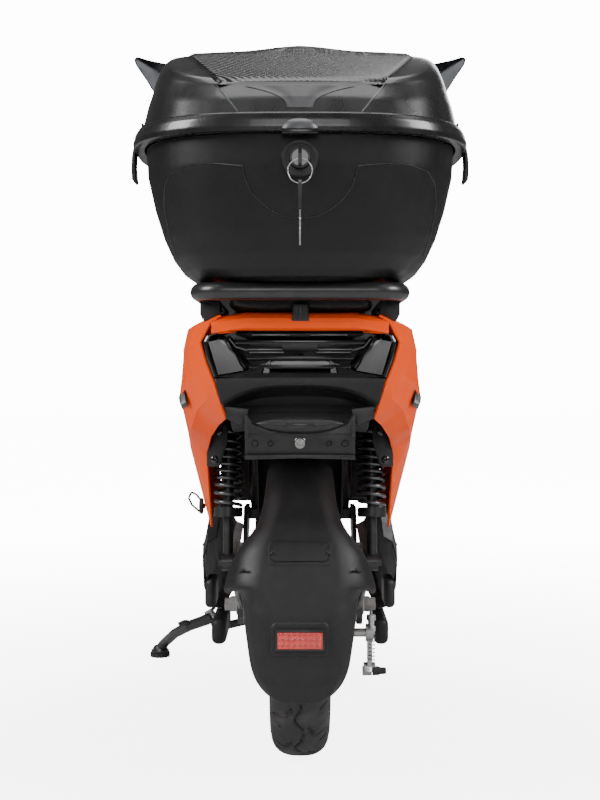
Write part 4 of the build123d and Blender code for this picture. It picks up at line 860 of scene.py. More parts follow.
def buildLowerCover():
    # every row is a line across whose ends fall away by a power of the reach
    x = np.linspace(-1, 1, 121)
    rows = []
    for half, y, z, drop, power in lowerCover["rows"]:
        reach = np.abs(x)
        rows.append(np.column_stack([half * x, y + 6 * reach ** 4, z - drop * reach ** power]))
    return surface("tailLowerCover", np.array(rows), sharp=26, flip=False, thick=2.0)


dress(buildLowerCover(), finishes["mudguardPlastic"], "body", "tail_lower_cover", slot="black_plastic")


# Number-plate bracket with a hooded lamp, folded wings, a bent lip and its bolt.
bracket = {
    "holes": (-54, -35, 35, 54),
    "holeHeight": 440.0,
    "face": [(-66, 427), (-62, 425.6), (0, 426.6), (62, 425.6), (66, 427), (66, 474), (63, 474), (57, 463),
             (46, 459), (-46, 459), (-57, 463), (-63, 474), (-66, 474)],
    "lip": [(-66, 421), (0, 422.6), (66, 421), (66, 426.2), (0, 427.2), (-66, 426.2)],
}


def buildBracket():
    parts = [plate("face", bracket["face"], -252, -249, 0.8), plate("lip", bracket["lip"], -258, -249, 1.0),
             box("crease", -65, 65, -253, -251.5, 450.6, 452, 0.5)]
    for side in (-1, 1):
        wing = [(side * 66, 474), (side * 66, 447), (side * 62, 447), (side * 60, 458), (side * 63, 474)]
        parts.append(plate("wing", wing, -256, -249, 0.8))
        strut = [(side * 62, 481), (side * 89, 484), (side * 90, 470), (side * 70, 462), (side * 64, 470)]
        parts.append(plate("strut", strut, -244, -240, 1.0))
    # hood over the lamp: a half-barrel that thins towards its ends
    u = np.linspace(-1, 1, 50)[:, None]
    v = np.linspace(0, np.pi, 18)[None, :]
    thick = 8.5 * (1 - np.abs(u) ** 4) + 1.5
    hood = np.stack([52 * u + 0 * v, -249 - 11 * np.sin(v) * (1 - 0.5 * np.abs(u) ** 6),
                     461.5 + thick * np.cos(v) + 2.5 * np.abs(u) ** 2], axis=-1)
    parts.append(surface("hood", hood, sharp=40, flip=True))
    for part in parts:
        paint(part, "blackSatin")
    glow = box("lamp", -17, 17, -261.4, -256, 458.6, 464.6, 1.2)
    paint(glow, "lampGrey")
    parts.append(glow)
    for x in bracket["holes"]:
        size = 3.4 if abs(x) > 50 else 2.6
        ring = lathe("hole", [(-252.0, size + 1.1), (-252.7, size + 0.9), (-252.7, size),
                              (-250.6, size - 0.4),
                              (-250.5, 0.02)], (x, 0, bracket["holeHeight"]), axis="y", steps=24)
        paint(ring, "blackGloss")
        parts.append(ring)
    washer = lathe("washer", [(-252, 7.4), (-253.4, 7.2), (-253.8, 6.6), (-253.4, 4.2), (-252.6, 4.0)],
                   (0, 0, 441), axis="y", steps=32)
    paint(washer, "blackGloss")
    bolt = lathe("bolt", [(-252, 3.8), (-255.0, 3.8), (-255.8, 3.2), (-255.8, 1.8), (-254.8, 1.5),
                          (-254.8, 0.02)], (0, 0, 441), axis="y", steps=32)
    paint(bolt, "zincSteel")
    parts += [washer, bolt]
    return join("plateBracket", parts)


dress(buildBracket(), None, "body", "plate_bracket", slot="black_plastic")
print("stage: tail")


# Rear mudguard: a sheet round the wheel, its edge line moves in and out to form the wings.
guard = {
    # angle at the middle, angle at the edge, half width, radius at the middle, fall towards the edge
    "rows": [(115.5, 115.5, 40, 226, 13), (120, 120, 41, 227, 13), (130, 130, 43, 229, 14),
             (137, 137, 46, 230, 15),
             (143, 144, 54, 231, 17), (148, 150, 70, 232, 22), (152, 154.5, 81, 233, 27),
             (157, 160, 88, 234, 33),
             (161, 164, 91.5, 236, 36), (164, 165.4, 90.5, 237, 37), (166.5, 163.9, 84, 238, 33),
             (169, 164.5, 76, 239, 28), (171.5, 167.8, 69.5, 240, 24), (174, 172, 67, 241, 22),
             (178, 177, 65, 242, 20), (184, 184, 61, 245, 17), (189, 188.6, 57.5, 247, 14),
             (193, 192, 52, 249, 12), (196, 194.6, 44, 250.5, 10), (197.2, 196.3, 36, 251, 9)],
    "wall": 2.6,
}


def guardPoint(x, angle, radius):
    turn = np.radians(angle)
    return np.stack([x, radius * np.cos(turn), wheelRadius / mm + radius * np.sin(turn)], axis=-1)


def guardDrop(reach, fall):
    # flat crown up to the crease, then a rounded shoulder down to the rolled edge
    shoulder = np.clip((reach - 0.5) / 0.5, 0, 1)
    return fall * (0.62 * shoulder ** 1.7 + 0.38 * shoulder ** 6) + 1.5 * reach ** 2


def buildGuard():
    rows = np.array(guard["rows"], dtype=float)
    at = np.linspace(0, len(rows) - 1, 150)
    # cubic easing through the listed rows: each value is a local parabola blend of its neighbours
    low = np.clip(at.astype(int), 0, len(rows) - 2)
    t = (at - low)[:, None]
    before, after = np.clip(low - 1, 0, None), np.clip(low + 2, None, len(rows) - 1)
    p0, p1, p2, p3 = rows[before], rows[low], rows[low + 1], rows[after]
    line = 0.5 * (2 * p1 + (p2 - p0) * t + (2 * p0 - 5 * p1 + 4 * p2 - p3) * t ** 2
                  + (3 * p1 - p0 - 3 * p2 + p3) * t ** 3)
    u = np.linspace(-1, 1, 101)
    middle, edge, half, radius, fall = (line[:, k][:, None] for k in range(5))
    reach = np.abs(u)[None, :]
    drop = guardDrop(reach, fall)
    angle = middle + (edge - middle) * reach ** 3
    bead = 1.6 * np.exp(-((1 - reach) * half / 2.6) ** 2)
    sunk = 1.8 * np.clip((angle - 190.5) / 2.0, 0, 1) * np.clip((0.9 - reach) * 9, 0, 1)
    grid = guardPoint(half * u[None, :], angle, radius - drop + bead + sunk)
    return surface("guardSheet", grid, thick=guard["wall"], sharp=40, flip=False)


def guardPatch(name, x, z, lift, material=None, sharp=40):
    # a sheet laid on the guard's crown; lift is how far each point stands off it
    rows = np.array(guard["rows"], dtype=float)
    height = wheelRadius / mm + rows[:, 3] * np.sin(np.radians(rows[:, 0]))
    order = np.argsort(height)
    angle = np.interp(z, height[order], rows[order, 0])
    radius = np.interp(z, height[order], rows[order, 3])
    fall = np.interp(z, height[order], rows[order, 4])
    half = np.interp(z, height[order], rows[order, 2])
    reach = np.abs(x) / half
    drop = guardDrop(reach, fall)
    made = surface(name, guardPoint(x, angle, radius - drop + lift), sharp=sharp)
    if material:
        made.data.materials.append(material)
    return made


def raisedPatch(name, x0, x1, z0, z1, lift, ramp, material, corner):
    # rounded rectangle that rises by lift over a short ramp all round
    s = np.linspace(x0 - ramp, x1 + ramp, 64)[None, :]
    t = np.linspace(z0 - ramp, z1 + ramp, 48)[:, None]
    cx, cz = (x0 + x1) / 2, (z0 + z1) / 2
    dx = np.maximum(np.abs(s - cx) - (x1 - cx) + corner, 0) + 0 * t
    dz = np.maximum(np.abs(t - cz) - (z1 - cz) + corner, 0) + 0 * s
    beyond = np.sqrt(dx ** 2 + dz ** 2) - corner
    rise = np.clip(1 - beyond / ramp, 0, 1)
    rise = rise * rise * (3 - 2 * rise)
    return guardPatch(name, s + 0 * t, t + 0 * s, -0.6 + (lift + 0.6) * rise, material)


def buildGuardDetails():
    plastic = finishes["mudguardPlastic"]
    parts = [raisedPatch("pad", -38, 38, 289, 315, 3.4, 4, plastic, 6),
             raisedPatch("pad", -34, 34, 293, 312, 5.0, 1.6, plastic, 4),
             raisedPatch("ridge", -3.6, 3.6, 241, 270, 2.6, 2.2, plastic, 1.5),
             raisedPatch("mount", -33, 33, 186, 222, 4.2, 5.5, plastic, 5)]
    for side in (-1, 1):
        hole = lathe("hole", [(-216.0, 3.9), (-217.4, 3.7), (-217.2, 2.8), (-214.5, 2.6), (-214.4, 0.02)],
                     (side * 33, 0, 303), axis="y", steps=24)
        paint(hole, "blackGloss")
        parts.append(hole)
        stay = tube("stay", smoothLine([(side * 80, -34, 205), (side * 80, -110, 232), (side * 80, -186, 262),
                                        (side * 78, -206, 274)], 40), 4.6, 14)
        paint(stay, "framePaint")
        parts.append(stay)
        rib = tube("rib", smoothLine([(side * 66, -224, 286), (side * 74, -212, 280), (side * 84, -197, 268),
                                      (side * 88, -190, 250)], 30), 1.6, 8)
        rib.data.materials.append(plastic)
        parts.append(rib)
    parts.append(paint(box("frame", -30.5, 30.5, -251, -243, 190.5, 217, 2.2), "blackSatin"))
    return parts


guardSheet = buildGuard()
paint(guardSheet, "mudguardPlastic")
dress(guardSheet, None, "arm", "rear_mudguard", slot="black_plastic")
dress(join("guardDetails", buildGuardDetails()), None, "arm")
dress(box("rearReflector", -27.2, 27.2, -254, -247, 194, 213.6, 1.3, 3), finishes["redReflector"], "arm",
      "rear_reflector", slot="red_reflector")
print("stage: mudguard")


# Tyres: a road tread cut into the lathe's surface.
tread = {
    "profile": [(-31, 127), (-35, 131), (-38.5, 142), (-40, 158), (-39.6, 172), (-37.4, 183), (-33.5, 191),
                (-28, 196.5), (-22, 199.8), (-16, 201.8), (-8, 202.8), (0, 203), (8, 202.8), (16, 201.8),
                (22, 199.8), (28, 196.5), (33.5, 191), (37.4, 183), (39.6, 172), (40, 158), (38.5, 142),
                (35, 131), (31, 127)],
    "depth": 3.2,
    "blocks": 18,
    "steps": 900,
}


def treadDepth(along, reach, angle):
    # one wavy groove at the middle, two straight shallow lines and hooked sipes on both shoulders
    count = tread["blocks"]
    wavy = 5.2 * np.sin(angle * count) + 1.4 * np.sin(angle * count * 2 + 0.6)
    cut = np.clip(1.25 - np.abs(along - wavy) / 1.5, 0, 1)
    for side in (-1, 1):
        lane = side * along
        phase = (angle * count / (2 * np.pi) + (0.25 if side > 0 else 0.75)) % 1
        hook = 0.30 + 0.016 * (lane - 12) + 0.10 * np.sin((lane - 12) * 0.24)
        sipe = np.clip(1.3 - np.abs(phase - hook) * 70 / 2.4, 0, 1) * (lane > 11) * (lane < 34)
        blob = np.clip(1.4 - np.hypot((phase - 0.36) * 70, lane - 14) / 3.6, 0, 1)
        short = np.clip(1.3 - np.abs(phase - 0.82 + 0.012 * (lane - 24)) * 70 / 2.0, 0,
                        1) * (lane > 24) * (lane < 37)
        seam = 0.22 * np.clip(1.2 - np.abs(lane - 17.5) / 0.7, 0, 1)
        cut = np.maximum.reduce([cut, sipe, blob, short, seam])
    cut = cut * (reach > 168)
    ribs = 0.5 * (np.abs(np.sin(angle * 60)) > 0.86) * (reach > 150) * (reach < 160)
    return -tread["depth"] * cut + ribs


def buildTyre(name, centre):
    line = resample(tread["profile"], 84)
    wallIn = [(30, 128), (31.6, 150), (30, 178), (20, 190), (0, 194), (-20, 190), (-30, 178), (-31.6, 150),
              (-30, 128)]
    return lathe(name, np.vstack([line, wallIn]), centre, steps=tread["steps"], wave=treadDepth, sharp=32)


frontPlace = (0, (frontAxle[1] - axle[1]) / mm, frontAxle[2] / mm)
dress(buildTyre("rearTyre", (0, 0, wheelRadius / mm)), finishes["tyreRubber"], "rear_wheel", "rear_tyre",
      slot="tyre")
dress(buildTyre("frontTyre", frontPlace), finishes["tyreRubber"], "front_wheel", "front_tyre", slot="tyre")
print("stage: tyres")


# Shock absorber coils.
shock = {"x": 100.0, "low": (-6.0, 262.0), "high": (22.0, 468.0), "coil": 17.6, "wire": 2.7, "turns": 9.5,
         "from": 78.0, "to": 183.0}


def shockPoint(distance, x):
    low, high = np.array(shock["low"]), np.array(shock["high"])
    share = distance / np.linalg.norm(high - low)
    y, z = (low + share[..., None] * (high - low)).T if np.ndim(share) else low + share * (high - low)
    return x, y, z


def buildCoil(x):
    # helix round the leaning axis, its end turns closed up
    t = np.linspace(0, 1, 420)
    rise = shock["from"] + (shock["to"] - shock["from"]) * (t + 0.020 * np.sin(2 * np.pi * t))
    turn = 2 * np.pi * shock["turns"] * t
    direction = np.array(shock["high"]) - np.array(shock["low"])
    direction = direction / np.linalg.norm(direction)
    _, y, z = shockPoint(rise, x)
    swing = shock["coil"] * np.sin(turn)
    path = np.column_stack([x + shock["coil"] * np.cos(turn), y - swing * direction[1],
                            z + swing * direction[0]])
    return tube("coil", path, shock["wire"], 10)


coils = [buildCoil(side * shock["x"]) for side in (-1, 1)]
for part in coils:
    paint(part, "springSteel")
coilPair = join("shockCoils", coils)
dress(coilPair, None, "body", "shock_springs", slot="spring_black")
# the coils' top seat as a point in the frame, worked out and not used
tuple(place([shockPoint(shock["to"], 0)])[0])
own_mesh(coilPair)
print("stage: shocks")


# Case fittings, keys, clips, rack posts and the parts under the tail.
def buildRing():
    # split ring: one and a half turns of wire that lie side by side
    t = np.linspace(0, 2 * np.pi * 1.9, 150)
    low, high = (np.array(corner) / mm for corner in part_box("key_ring"))
    centre, radius = (low + high) / 2, (high[2] - low[2]) / 2 - 0.7
    path = np.column_stack([centre[0] + radius * np.cos(t), centre[1] - axle[1] / mm - 0.55 + 1.1 * t / t[-1],
                            centre[2] + radius * np.sin(t)])
    return tube("keyRing", path, 0.72, 10)


def buildSpareKey():
    low, high = (np.array(corner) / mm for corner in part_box("spare_key"))
    low[1] -= axle[1] / mm
    high[1] -= axle[1] / mm
    middle, bowLow = (low[1] + high[1]) / 2, high[2] - 34

    def side(points, x0, x1, name, material, bevel):
        line = np.array(points, dtype=float)
        count = len(line)
        one = np.column_stack([np.full(count, x0), line])
        two = np.column_stack([np.full(count, x1), line])
        faces = [tuple(range(count)), tuple(range(count, 2 * count))[::-1]]
        faces += [(k, k + count, (k + 1) % count + count, (k + 1) % count) for k in range(count)]
        made = outward(makeObject(name, place(np.vstack([one, two])), faces, sharp=40))
        soft = made.modifiers.new("edge", "BEVEL")
        soft.width = bevel * mm
        soft.segments = 2
        soft.limit_method = "ANGLE"
        made.data.materials.append(material)
        return made

    turn = np.linspace(0, 2 * np.pi, 30, endpoint=False)
    bow = np.column_stack([middle + 10.4 * np.sign(np.cos(turn)) * np.abs(np.cos(turn)) ** 0.7,
                           high[2] - 17 + 17 * np.sign(np.sin(turn)) * np.abs(np.sin(turn)) ** 0.7])
    teeth = [(middle - 4, bowLow + 2), (middle + 4, bowLow + 2), (middle + 4, low[2] + 4), (middle, low[2]),
             (middle - 3.4, low[2] + 4)]
    for k in range(5):
        z = low[2] + 8 + 5 * k
        teeth += [(middle - 3.6 + 1.6 * (k % 2), z), (middle - 2.2 + 0.9 * (k % 3), z + 2.4)]
    return join("spareKey", [side(bow, -2.0, 2.0, "bow", finishes["blackSatin"], 0.8),
                             side(teeth, -0.9, 0.9, "blade", finishes["zincSteel"], 0.25)])


def buildClip(side):
    # over-centre latch: a curved lever with a hooked top and a ribbed thumb grip
    y0, y1 = -160.0, -132.0
    outline = np.array([(209.2, 767), (213.2, 766), (216.2, 770), (217.0, 782), (216.4, 797), (214.2, 808),
                        (210.6, 813.4), (205.2, 813.6), (203.6, 811.2), (208.4, 809.4), (211.0, 802),
                        (211.6, 788), (210.6, 776)])
    outline[:, 0] = 203.0 + (outline[:, 0] - 203.6) * 0.82
    line = outline * np.array([side, 1])
    lever = plate("lever", line if side > 0 else line[::-1], y0, y1, 0.8)
    paint(lever, "blackSatin")
    parts = [lever]
    for k in range(5):
        rib = box("rib", side * 212.4, side * 214.4, y0 + 3, y1 - 3, 774 + 4 * k, 775.4 + 4 * k, 0.5)
        paint(rib, "blackSatin")
        parts.append(rib)
    return join("clipLeft" if side < 0 else "clipRight", parts)


dress(buildRing(), finishes["zincSteel"], "ring", "key_ring")
dress(buildSpareKey(), None, "spare", "spare_key")
dress(buildClip(-1), None, "clip_l", "clip_left", slot="black_plastic")
dress(buildClip(1), None, "clip_r", "clip_right", slot="black_plastic")


def buildRackExtras():
    parts = []
    for side in (-1, 1):
        post = plate("post", [(side * 97, 612), (side * 97, 588), (side * 104, 585), (side * 118, 588),
                              (side * 122, 596), (side * 122, 614)], -224, -196, 2.0)
        parts.append(post)
        parts.append(box("foot", side * 92, side * 116, -222, -170, 595.5, 600, 1.5))
    low = box("latch", -9.5, 10.5, -243, -214, 588, 608, 2.0)
    parts.append(low)
    parts.append(box("latchRib", -2.5, 3.5, -244.6, -240, 590, 604, 1.0))
    parts.append(box("latchFoot", -11, 12, -241.5, -222, 586, 592, 2.5))
    for part in parts:
        paint(part, "blackSatin")
    return join("rackExtras", parts)


dress(buildRackExtras(), None, "body")


def buildLinerFaces():
    parts = []
    for side in (-1, 1):
        line = [(98, 431), (98, 452), (103, 456), (112, 456.5), (121, 441), (125, 420), (126, 398),
                (109, 397),
                (104, 414)]
        line = [(side * x, z) for x, z in line]
        face = plate("face", line if side > 0 else line[::-1], -55.0, -52.4, 1.2)
        paint(face, "blackSatin")
        parts.append(face)
        for x, z in ((109, 445), (115, 407)):
            head = lathe("screw", [(-55, 5.4), (-56.4, 5.2), (-57.6, 3.4), (-57.8, 2.0), (-56.6, 1.8),
                                   (-56.6, 0.02)],
                         (side * x, 0, z), axis="y", steps=24)
            paint(head, "blackGloss")
            parts.append(head)
    return join("linerFaces", parts)


dress(buildLinerFaces(), None, "body")


def buildChargeCap():
    low, high = (np.array(corner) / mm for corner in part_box("charge_cap"))
    y, z = (low[1] + high[1]) / 2 - axle[1] / mm + 1, low[2] + 12
    cap = lathe("cap", [(-138, 4), (-140.6, 4), (-140.8, 10), (-141.6, 11.8), (-144.5, 12), (-146.2, 10.8),
                        (-146.8, 8), (-146.2, 0.02)], (0, y, z), axis="x", steps=48)
    loop = smoothLine([(-145, y, z + 9), (-151, y, z + 17), (-158, y - 1, z + 20), (-162, y - 3, z + 12),
                       (-157, y - 4, z + 2), (-146, y - 3, z - 8)], 60)
    strap = tube("strap", loop, 1.7, 10)
    for part in (cap, strap):
        paint(part, "rubber")
    return join("chargeCap", [cap, strap])


dress(buildChargeCap(), None, "body", "charge_cap", slot="rubber")


# Side covers beside the swingarm pivot and along the foot board.
skirt = {
    # place along Y, then (x, z) from the top edge round the outside to the bottom edge
    "folds": {270: [(134, 262), (148, 254), (156, 226), (154, 182), (146, 158), (134, 148)],
              330: [(134, 282), (152, 272), (160, 236), (156, 176), (146, 140), (130, 134)],
              400: [(134, 296), (154, 284), (161, 238), (156, 172), (146, 134), (128, 126)],
              520: [(134, 297), (154, 286), (161, 240), (154, 178), (142, 138), (122, 130)],
              700: [(133, 297), (152, 287), (157, 250), (149, 204), (138, 176), (120, 168)],
              900: [(132, 297), (148, 289), (152, 262), (144, 230), (134, 212), (118, 204)]},
}


def buildSkirt():
    panel = surface("skirt", foldGrid(skirt["folds"]), thick=2.6, sharp=14)
    paint(panel, "mudguardPlastic")
    parts = [panel]
    # bumper block with a rounded back over the pivot bolt, and a darker foot below it
    bumper = box("bumper", 134, 152, 262, 330, 148, 194, 8, 5)
    paint(bumper, "blackSatin")
    under = box("under", 118, 142, 268, 420, 88, 130, 10, 5)
    paint(under, "mudguardPlastic")
    for z in (206, 240):
        groove = box("slot", 158.5, 160.6, 330, 420, z - 2, z + 2, 1.0)
        paint(groove, "blackSatin")
        parts.append(groove)
    return join("skirtRight", parts + [bumper, under])


skirtRight = buildSkirt()
skirtLeft = mirrorOf(skirtRight, "skirtLeft")
dress(skirtRight, None, "body", "side_skirts", slot="black_plastic")
dress(skirtLeft, None, "body", slot="black_plastic")
print("stage: fittings")


# Side stand: a forged leg that bends out to its foot, with a lug.
def buildStand():
    path = smoothLine([(-152, 470, 96), (-166, 478, 88), (-196, 498, 74), (-226, 540, 52), (-248, 576, 28),
                       (-258, 588, 14)], 60)
    size = np.interp(np.linspace(0, 1, 60), [0, 0.15, 0.5, 0.85, 1], [10.5, 9.5, 9.0, 8.6, 9.5])
    leg = tube("leg", path, size, 20)
    foot = lathe("plate", [(8.0, 0.02), (8.0, 15), (9, 16.4), (12, 16.4), (14, 14), (20, 10.5), (22, 0.02)],
                 (-258, 588, 0), axis="z", steps=40)
    lug = tube("lug", smoothLine([(-190, 494, 80), (-204, 484, 84), (-214, 480, 80)], 20), 3.6, 12)
    for part in (leg, foot, lug):
        paint(part, "framePaint")
    return join("sideStand", [leg, foot, lug])


dress(buildStand(), None, "stand", "side_stand", slot="frame_paint")


# Cushions: a slightly small closed form is inflated as cloth, capped, then gets its seams.
cushion = {
    # place along Y, half width, top height
    "seat": [(70, 84, 668), (110, 98, 682), (170, 106, 690), (250, 110, 694), (330, 108, 695),
             (400, 100, 689),
             (460, 86, 678), (520, 64, 664), (550, 50, 655)],
    "seatLow": 615.5,
    "pad": [(-228, 82, 616), (-215, 91, 618), (-150, 92.5, 619), (-60, 92.5, 619), (30, 91, 618),
            (50, 84, 616)],
    "padLow": 599.5,
    "voxel": 5.5,
    "pressure": 4.0,
    "frames": 20,
    "cap": 6.0,
}


def cushionForm(name, rows, low, count=64):
    # each cross-section: flat underneath, sides that lean in a little and a crowned top
    rows = np.array(rows, dtype=float)
    at = np.linspace(0, len(rows) - 1, 60)
    line = np.stack([np.interp(at, np.arange(len(rows)), rows[:, k]) for k in range(3)], axis=-1)
    turn = np.linspace(0, 2 * np.pi, count, endpoint=False)
    c, s = np.cos(turn), np.sin(turn)
    half, high = line[:, 1][:, None], line[:, 2][:, None]
    middle, tall = (high + low) / 2, (high - low) / 2
    x = half * np.sign(c) * np.abs(c) ** 0.5
    z = middle + tall * np.sign(s) * np.abs(s) ** np.where(s > 0, 0.62, 0.3)
    grid = np.stack([x, line[:, 0][:, None] + 0 * x, z], axis=-1)
    return surface(name, grid, wrapCols=True, capEnds=True, sharp=60)


def meshPoints(obj):
    co = np.empty(len(obj.data.vertices) * 3)
    obj.data.vertices.foreach_get("co", co)
    return co.reshape(-1, 3)


def inflate(obj):
    # rounds the form off, fills it with air and keeps every point within the cap of where it began
    remesh = obj.modifiers.new("even", "REMESH")
    remesh.mode = "VOXEL"
    remesh.voxel_size = cushion["voxel"] * mm
    applyAll(obj)
    start = meshPoints(obj)
    cloth = obj.modifiers.new("air", "CLOTH")
    cloth.settings.use_pressure = True
    cloth.settings.uniform_pressure_force = cushion["pressure"]
    cloth.settings.effector_weights.gravity = 0
    cloth.settings.quality = 5
    cloth.point_cache.frame_start = 1
    cloth.point_cache.frame_end = cushion["frames"]
    scene = bpy.context.scene
    for number in range(1, cushion["frames"] + 1):
        scene.frame_set(number)
    applyAll(obj)
    scene.frame_set(1)
    move = meshPoints(obj) - start
    length = np.linalg.norm(move, axis=1, keepdims=True)
    shaped = start + move * np.minimum(1, cushion["cap"] * mm / np.maximum(length, 1e-9))
    shaped[:, 2] = np.maximum(shaped[:, 2], start[:, 2].min() + 0.0002)
    obj.data.vertices.foreach_set("co", shaped.ravel())
    obj.data.update()
    soft = obj.modifiers.new("fine", "SUBSURF")
    soft.levels = soft.render_levels = 1
    applyAll(obj)
    obj.data.shade_smooth()
    return obj


def applyAll(obj):
    # the shape with its modifiers worked in
    graph = bpy.context.evaluated_depsgraph_get()
    graph.update()
    mesh = bpy.data.meshes.new_from_object(obj.evaluated_get(graph))
    obj.modifiers.clear()
    obj.data = mesh


def onTop(obj, xy):
    # height of the cushion's upper skin at (x, y) places in millimetres
    graph = bpy.context.evaluated_depsgraph_get()
    tree = BVHTree.FromObject(obj, graph)
    out = []
    for x, y in xy:
        hit = tree.ray_cast((x * mm, y * mm + axle[1], 1.5), (0, 0, -1))[0]
        if hit is not None:
            out.append((x, y, hit.z / mm))
    return np.array(out)


seatCushion = inflate(cushionForm("seatCushion", cushion["seat"], cushion["seatLow"]))
dress(seatCushion, finishes["seatVinyl"], "seat", "seat_cushion", slot="seat_vinyl")
tailPad = inflate(cushionForm("tailPad", cushion["pad"], cushion["padLow"]))
dress(tailPad, finishes["padVinyl"], "body", "tail_pad", slot="seat_vinyl")


def buildSeatSeams():
    # piping round the crown's edge and two cross channels' welts
    parts = []
    rows = np.array(cushion["seat"], dtype=float)
    y = np.linspace(78, 540, 120)
    half = np.interp(y, rows[:, 0], rows[:, 1]) * 0.80
    for side in (-1, 1):
        line = onTop(seatCushion, np.column_stack([side * half, y]))
        line[:, 2] += 0.3
        parts.append(tube("piping", line, 1.5, 8))
    for spot in (150, 230, 310, 390):
        x = np.linspace(-1, 1, 50) * np.interp(spot, rows[:, 0], rows[:, 1]) * 0.80
        line = onTop(seatCushion, np.column_stack([x, spot - 14 * (x / 90) ** 2]))
        line[:, 2] += 0.1
        parts.append(tube("welt", line, 1.1, 8))
    for part in parts:
        paint(part, "rubber")
    return join("seatSeams", parts)


dress(buildSeatSeams(), None, "seat")
print("stage: cushions")


# Mirrors: a shell with a rounded back, a raised rim and dark glass.
mirror = {"outline": [(343, 1188), (350, 1184), (347, 1172), (325, 1140), (302, 1103), (292, 1096),
                      (246, 1084), (222, 1090),
                      (211, 1102), (203, 1140), (210, 1156), (226, 1166), (283, 1173), (320, 1181)]}


def buildMirror():
    line = smoothLine(mirror["outline"], 110, closed=True, passes=1, keep=12)
    centre = line.mean(axis=0)
    rings = []
    for share, y in [(0.955, 929.5), (0.96, 925.0), (0.985, 923.6), (1.0, 925.5), (1.0, 932), (0.985, 937),
                     (0.94, 941), (0.82, 945.5), (0.6, 949.5), (0.3, 951.5), (0.02, 952)]:
        ring = centre + (line - centre) * share
        rings.append(np.column_stack([ring[:, 0], np.full(len(ring), y), ring[:, 1]]))
    shell = surface("shell", np.array(rings), wrapCols=True, sharp=50, flip=True)
    paint(shell, "blackGloss")
    glassRings = []
    for share in np.linspace(0.957, 0.02, 8):
        ring = centre + (line - centre) * share
        glassRings.append(np.column_stack([ring[:, 0], 926.6 + 1.2 * (1 - share ** 2) + 0 * ring[:, 0],
                                           ring[:, 1]]))
    glass = surface("glass", np.array(glassRings), wrapCols=True, sharp=180, flip=True)
    paint(glass, "mirrorGlass")
    cup = lathe("cup", [(945, 15), (953, 14.5), (957, 12.5), (957.2, 9), (950, 8.6), (945, 8.6)],
                (240, 0, 1128),
                axis="y", steps=40)
    paint(cup, "blackSatin")
    return join("mirrorRight", [shell, glass, cup])


mirrorRight = buildMirror()
mirrorLeft = mirrorOf(mirrorRight, "mirrorLeft")
dress(mirrorRight, None, "mirror_r", "mirror_right")
dress(mirrorLeft, None, "mirror_l", "mirror_left")
print("stage: mirrors")


# Front covers, lamp and fender: smooth sheets through a few cross-lines.
def easedThrough(points, count):
    # a smooth curve through every listed point (each stretch a cubic of its four neighbours)
    points = np.array(points, dtype=float)
    at = np.linspace(0, len(points) - 1, count)
    low = np.clip(at.astype(int), 0, len(points) - 2)
    t = (at - low).reshape((-1,) + (1,) * (points.ndim - 1))
    p1, p2 = points[low], points[low + 1]
    p0 = np.where((low > 0).reshape(t.shape), points[np.maximum(low - 1, 0)], 2 * p1 - p2)
    last = (low + 2 <= len(points) - 1).reshape(t.shape)
    p3 = np.where(last, points[np.minimum(low + 2, len(points) - 1)], 2 * p2 - p1)
    return 0.5 * (2 * p1 + (p2 - p0) * t + (2 * p0 - 5 * p1 + 4 * p2 - p3) * t ** 2
                  + (3 * p1 - p0 - 3 * p2 + p3) * t ** 3)


def smoothSheet(name, rows, across, along, **options):
    # rows of (x, y, z) points, eased across each row and then from row to row
    lines = np.array([easedThrough(row, across) for row in rows])
    return surface(name, easedThrough(lines, along), **options)


def levelRows(rows):
    # each line is listed by its right half, from the outside in, and turned over for the left half
    lines = []
    for z, half in sorted(rows.items()):
        left = [(-x, y) for x, y in half if x]
        lines.append([(x, y, z) for x, y in left + half[::-1]])
    return lines


front = {
    # height, then (x, y) from the outer edge to the middle
    "shield": {300: [(150, 862), (120, 866), (70, 866), (40, 865)],
               410: [(163, 884), (122, 900), (74, 898), (40, 892)],
               520: [(172, 910), (124, 930), (76, 930), (40, 924)],
               610: [(168, 902), (120, 922), (72, 920), (40, 914)],
               700: [(162, 890), (114, 912), (68, 910), (40, 904)],
               790: [(142, 878), (96, 896), (58, 894), (38, 889)],
               872: [(116, 866), (76, 878), (50, 877), (34, 872)]},
    "apron": {548: [(171, 921), (160, 962), (132, 1032), (84, 1098), (0, 1143)],
              630: [(167, 911), (154, 950), (124, 1018), (76, 1084), (0, 1129)],
              705: [(161, 901), (148, 938), (116, 1004), (70, 1070), (0, 1113)],
              790: [(141, 890), (124, 922), (96, 976), (56, 1030), (0, 1076)],
              872: [(115, 878), (102, 904), (78, 946), (46, 986), (0, 1031)]},
    "fenderHalf": 49.0,
    "fenderFrom": 36.0,
    "fenderTo": 152.0,
}


def buildShield():
    panel = smoothSheet("shield", levelRows(front["shield"]), 70, 70, thick=2.6, sharp=50, flip=True)
    paint(panel, "mudguardPlastic")
    barrel = lathe("switch", [(892, 15), (883, 15), (881, 13.5), (881, 9.5), (884, 8.8), (884, 0.02)],
                   (60, 0, 783), axis="y", steps=40)
    paint(barrel, "zincSteel")
    hook = tube("hook", smoothLine([(0, 903, 700), (0, 890, 698), (0, 880, 690), (0, 879, 678),
                                    (0, 887, 672)], 24),
                4, 12)
    paint(hook, "blackSatin")
    return join("legShield", [panel, barrel, hook])


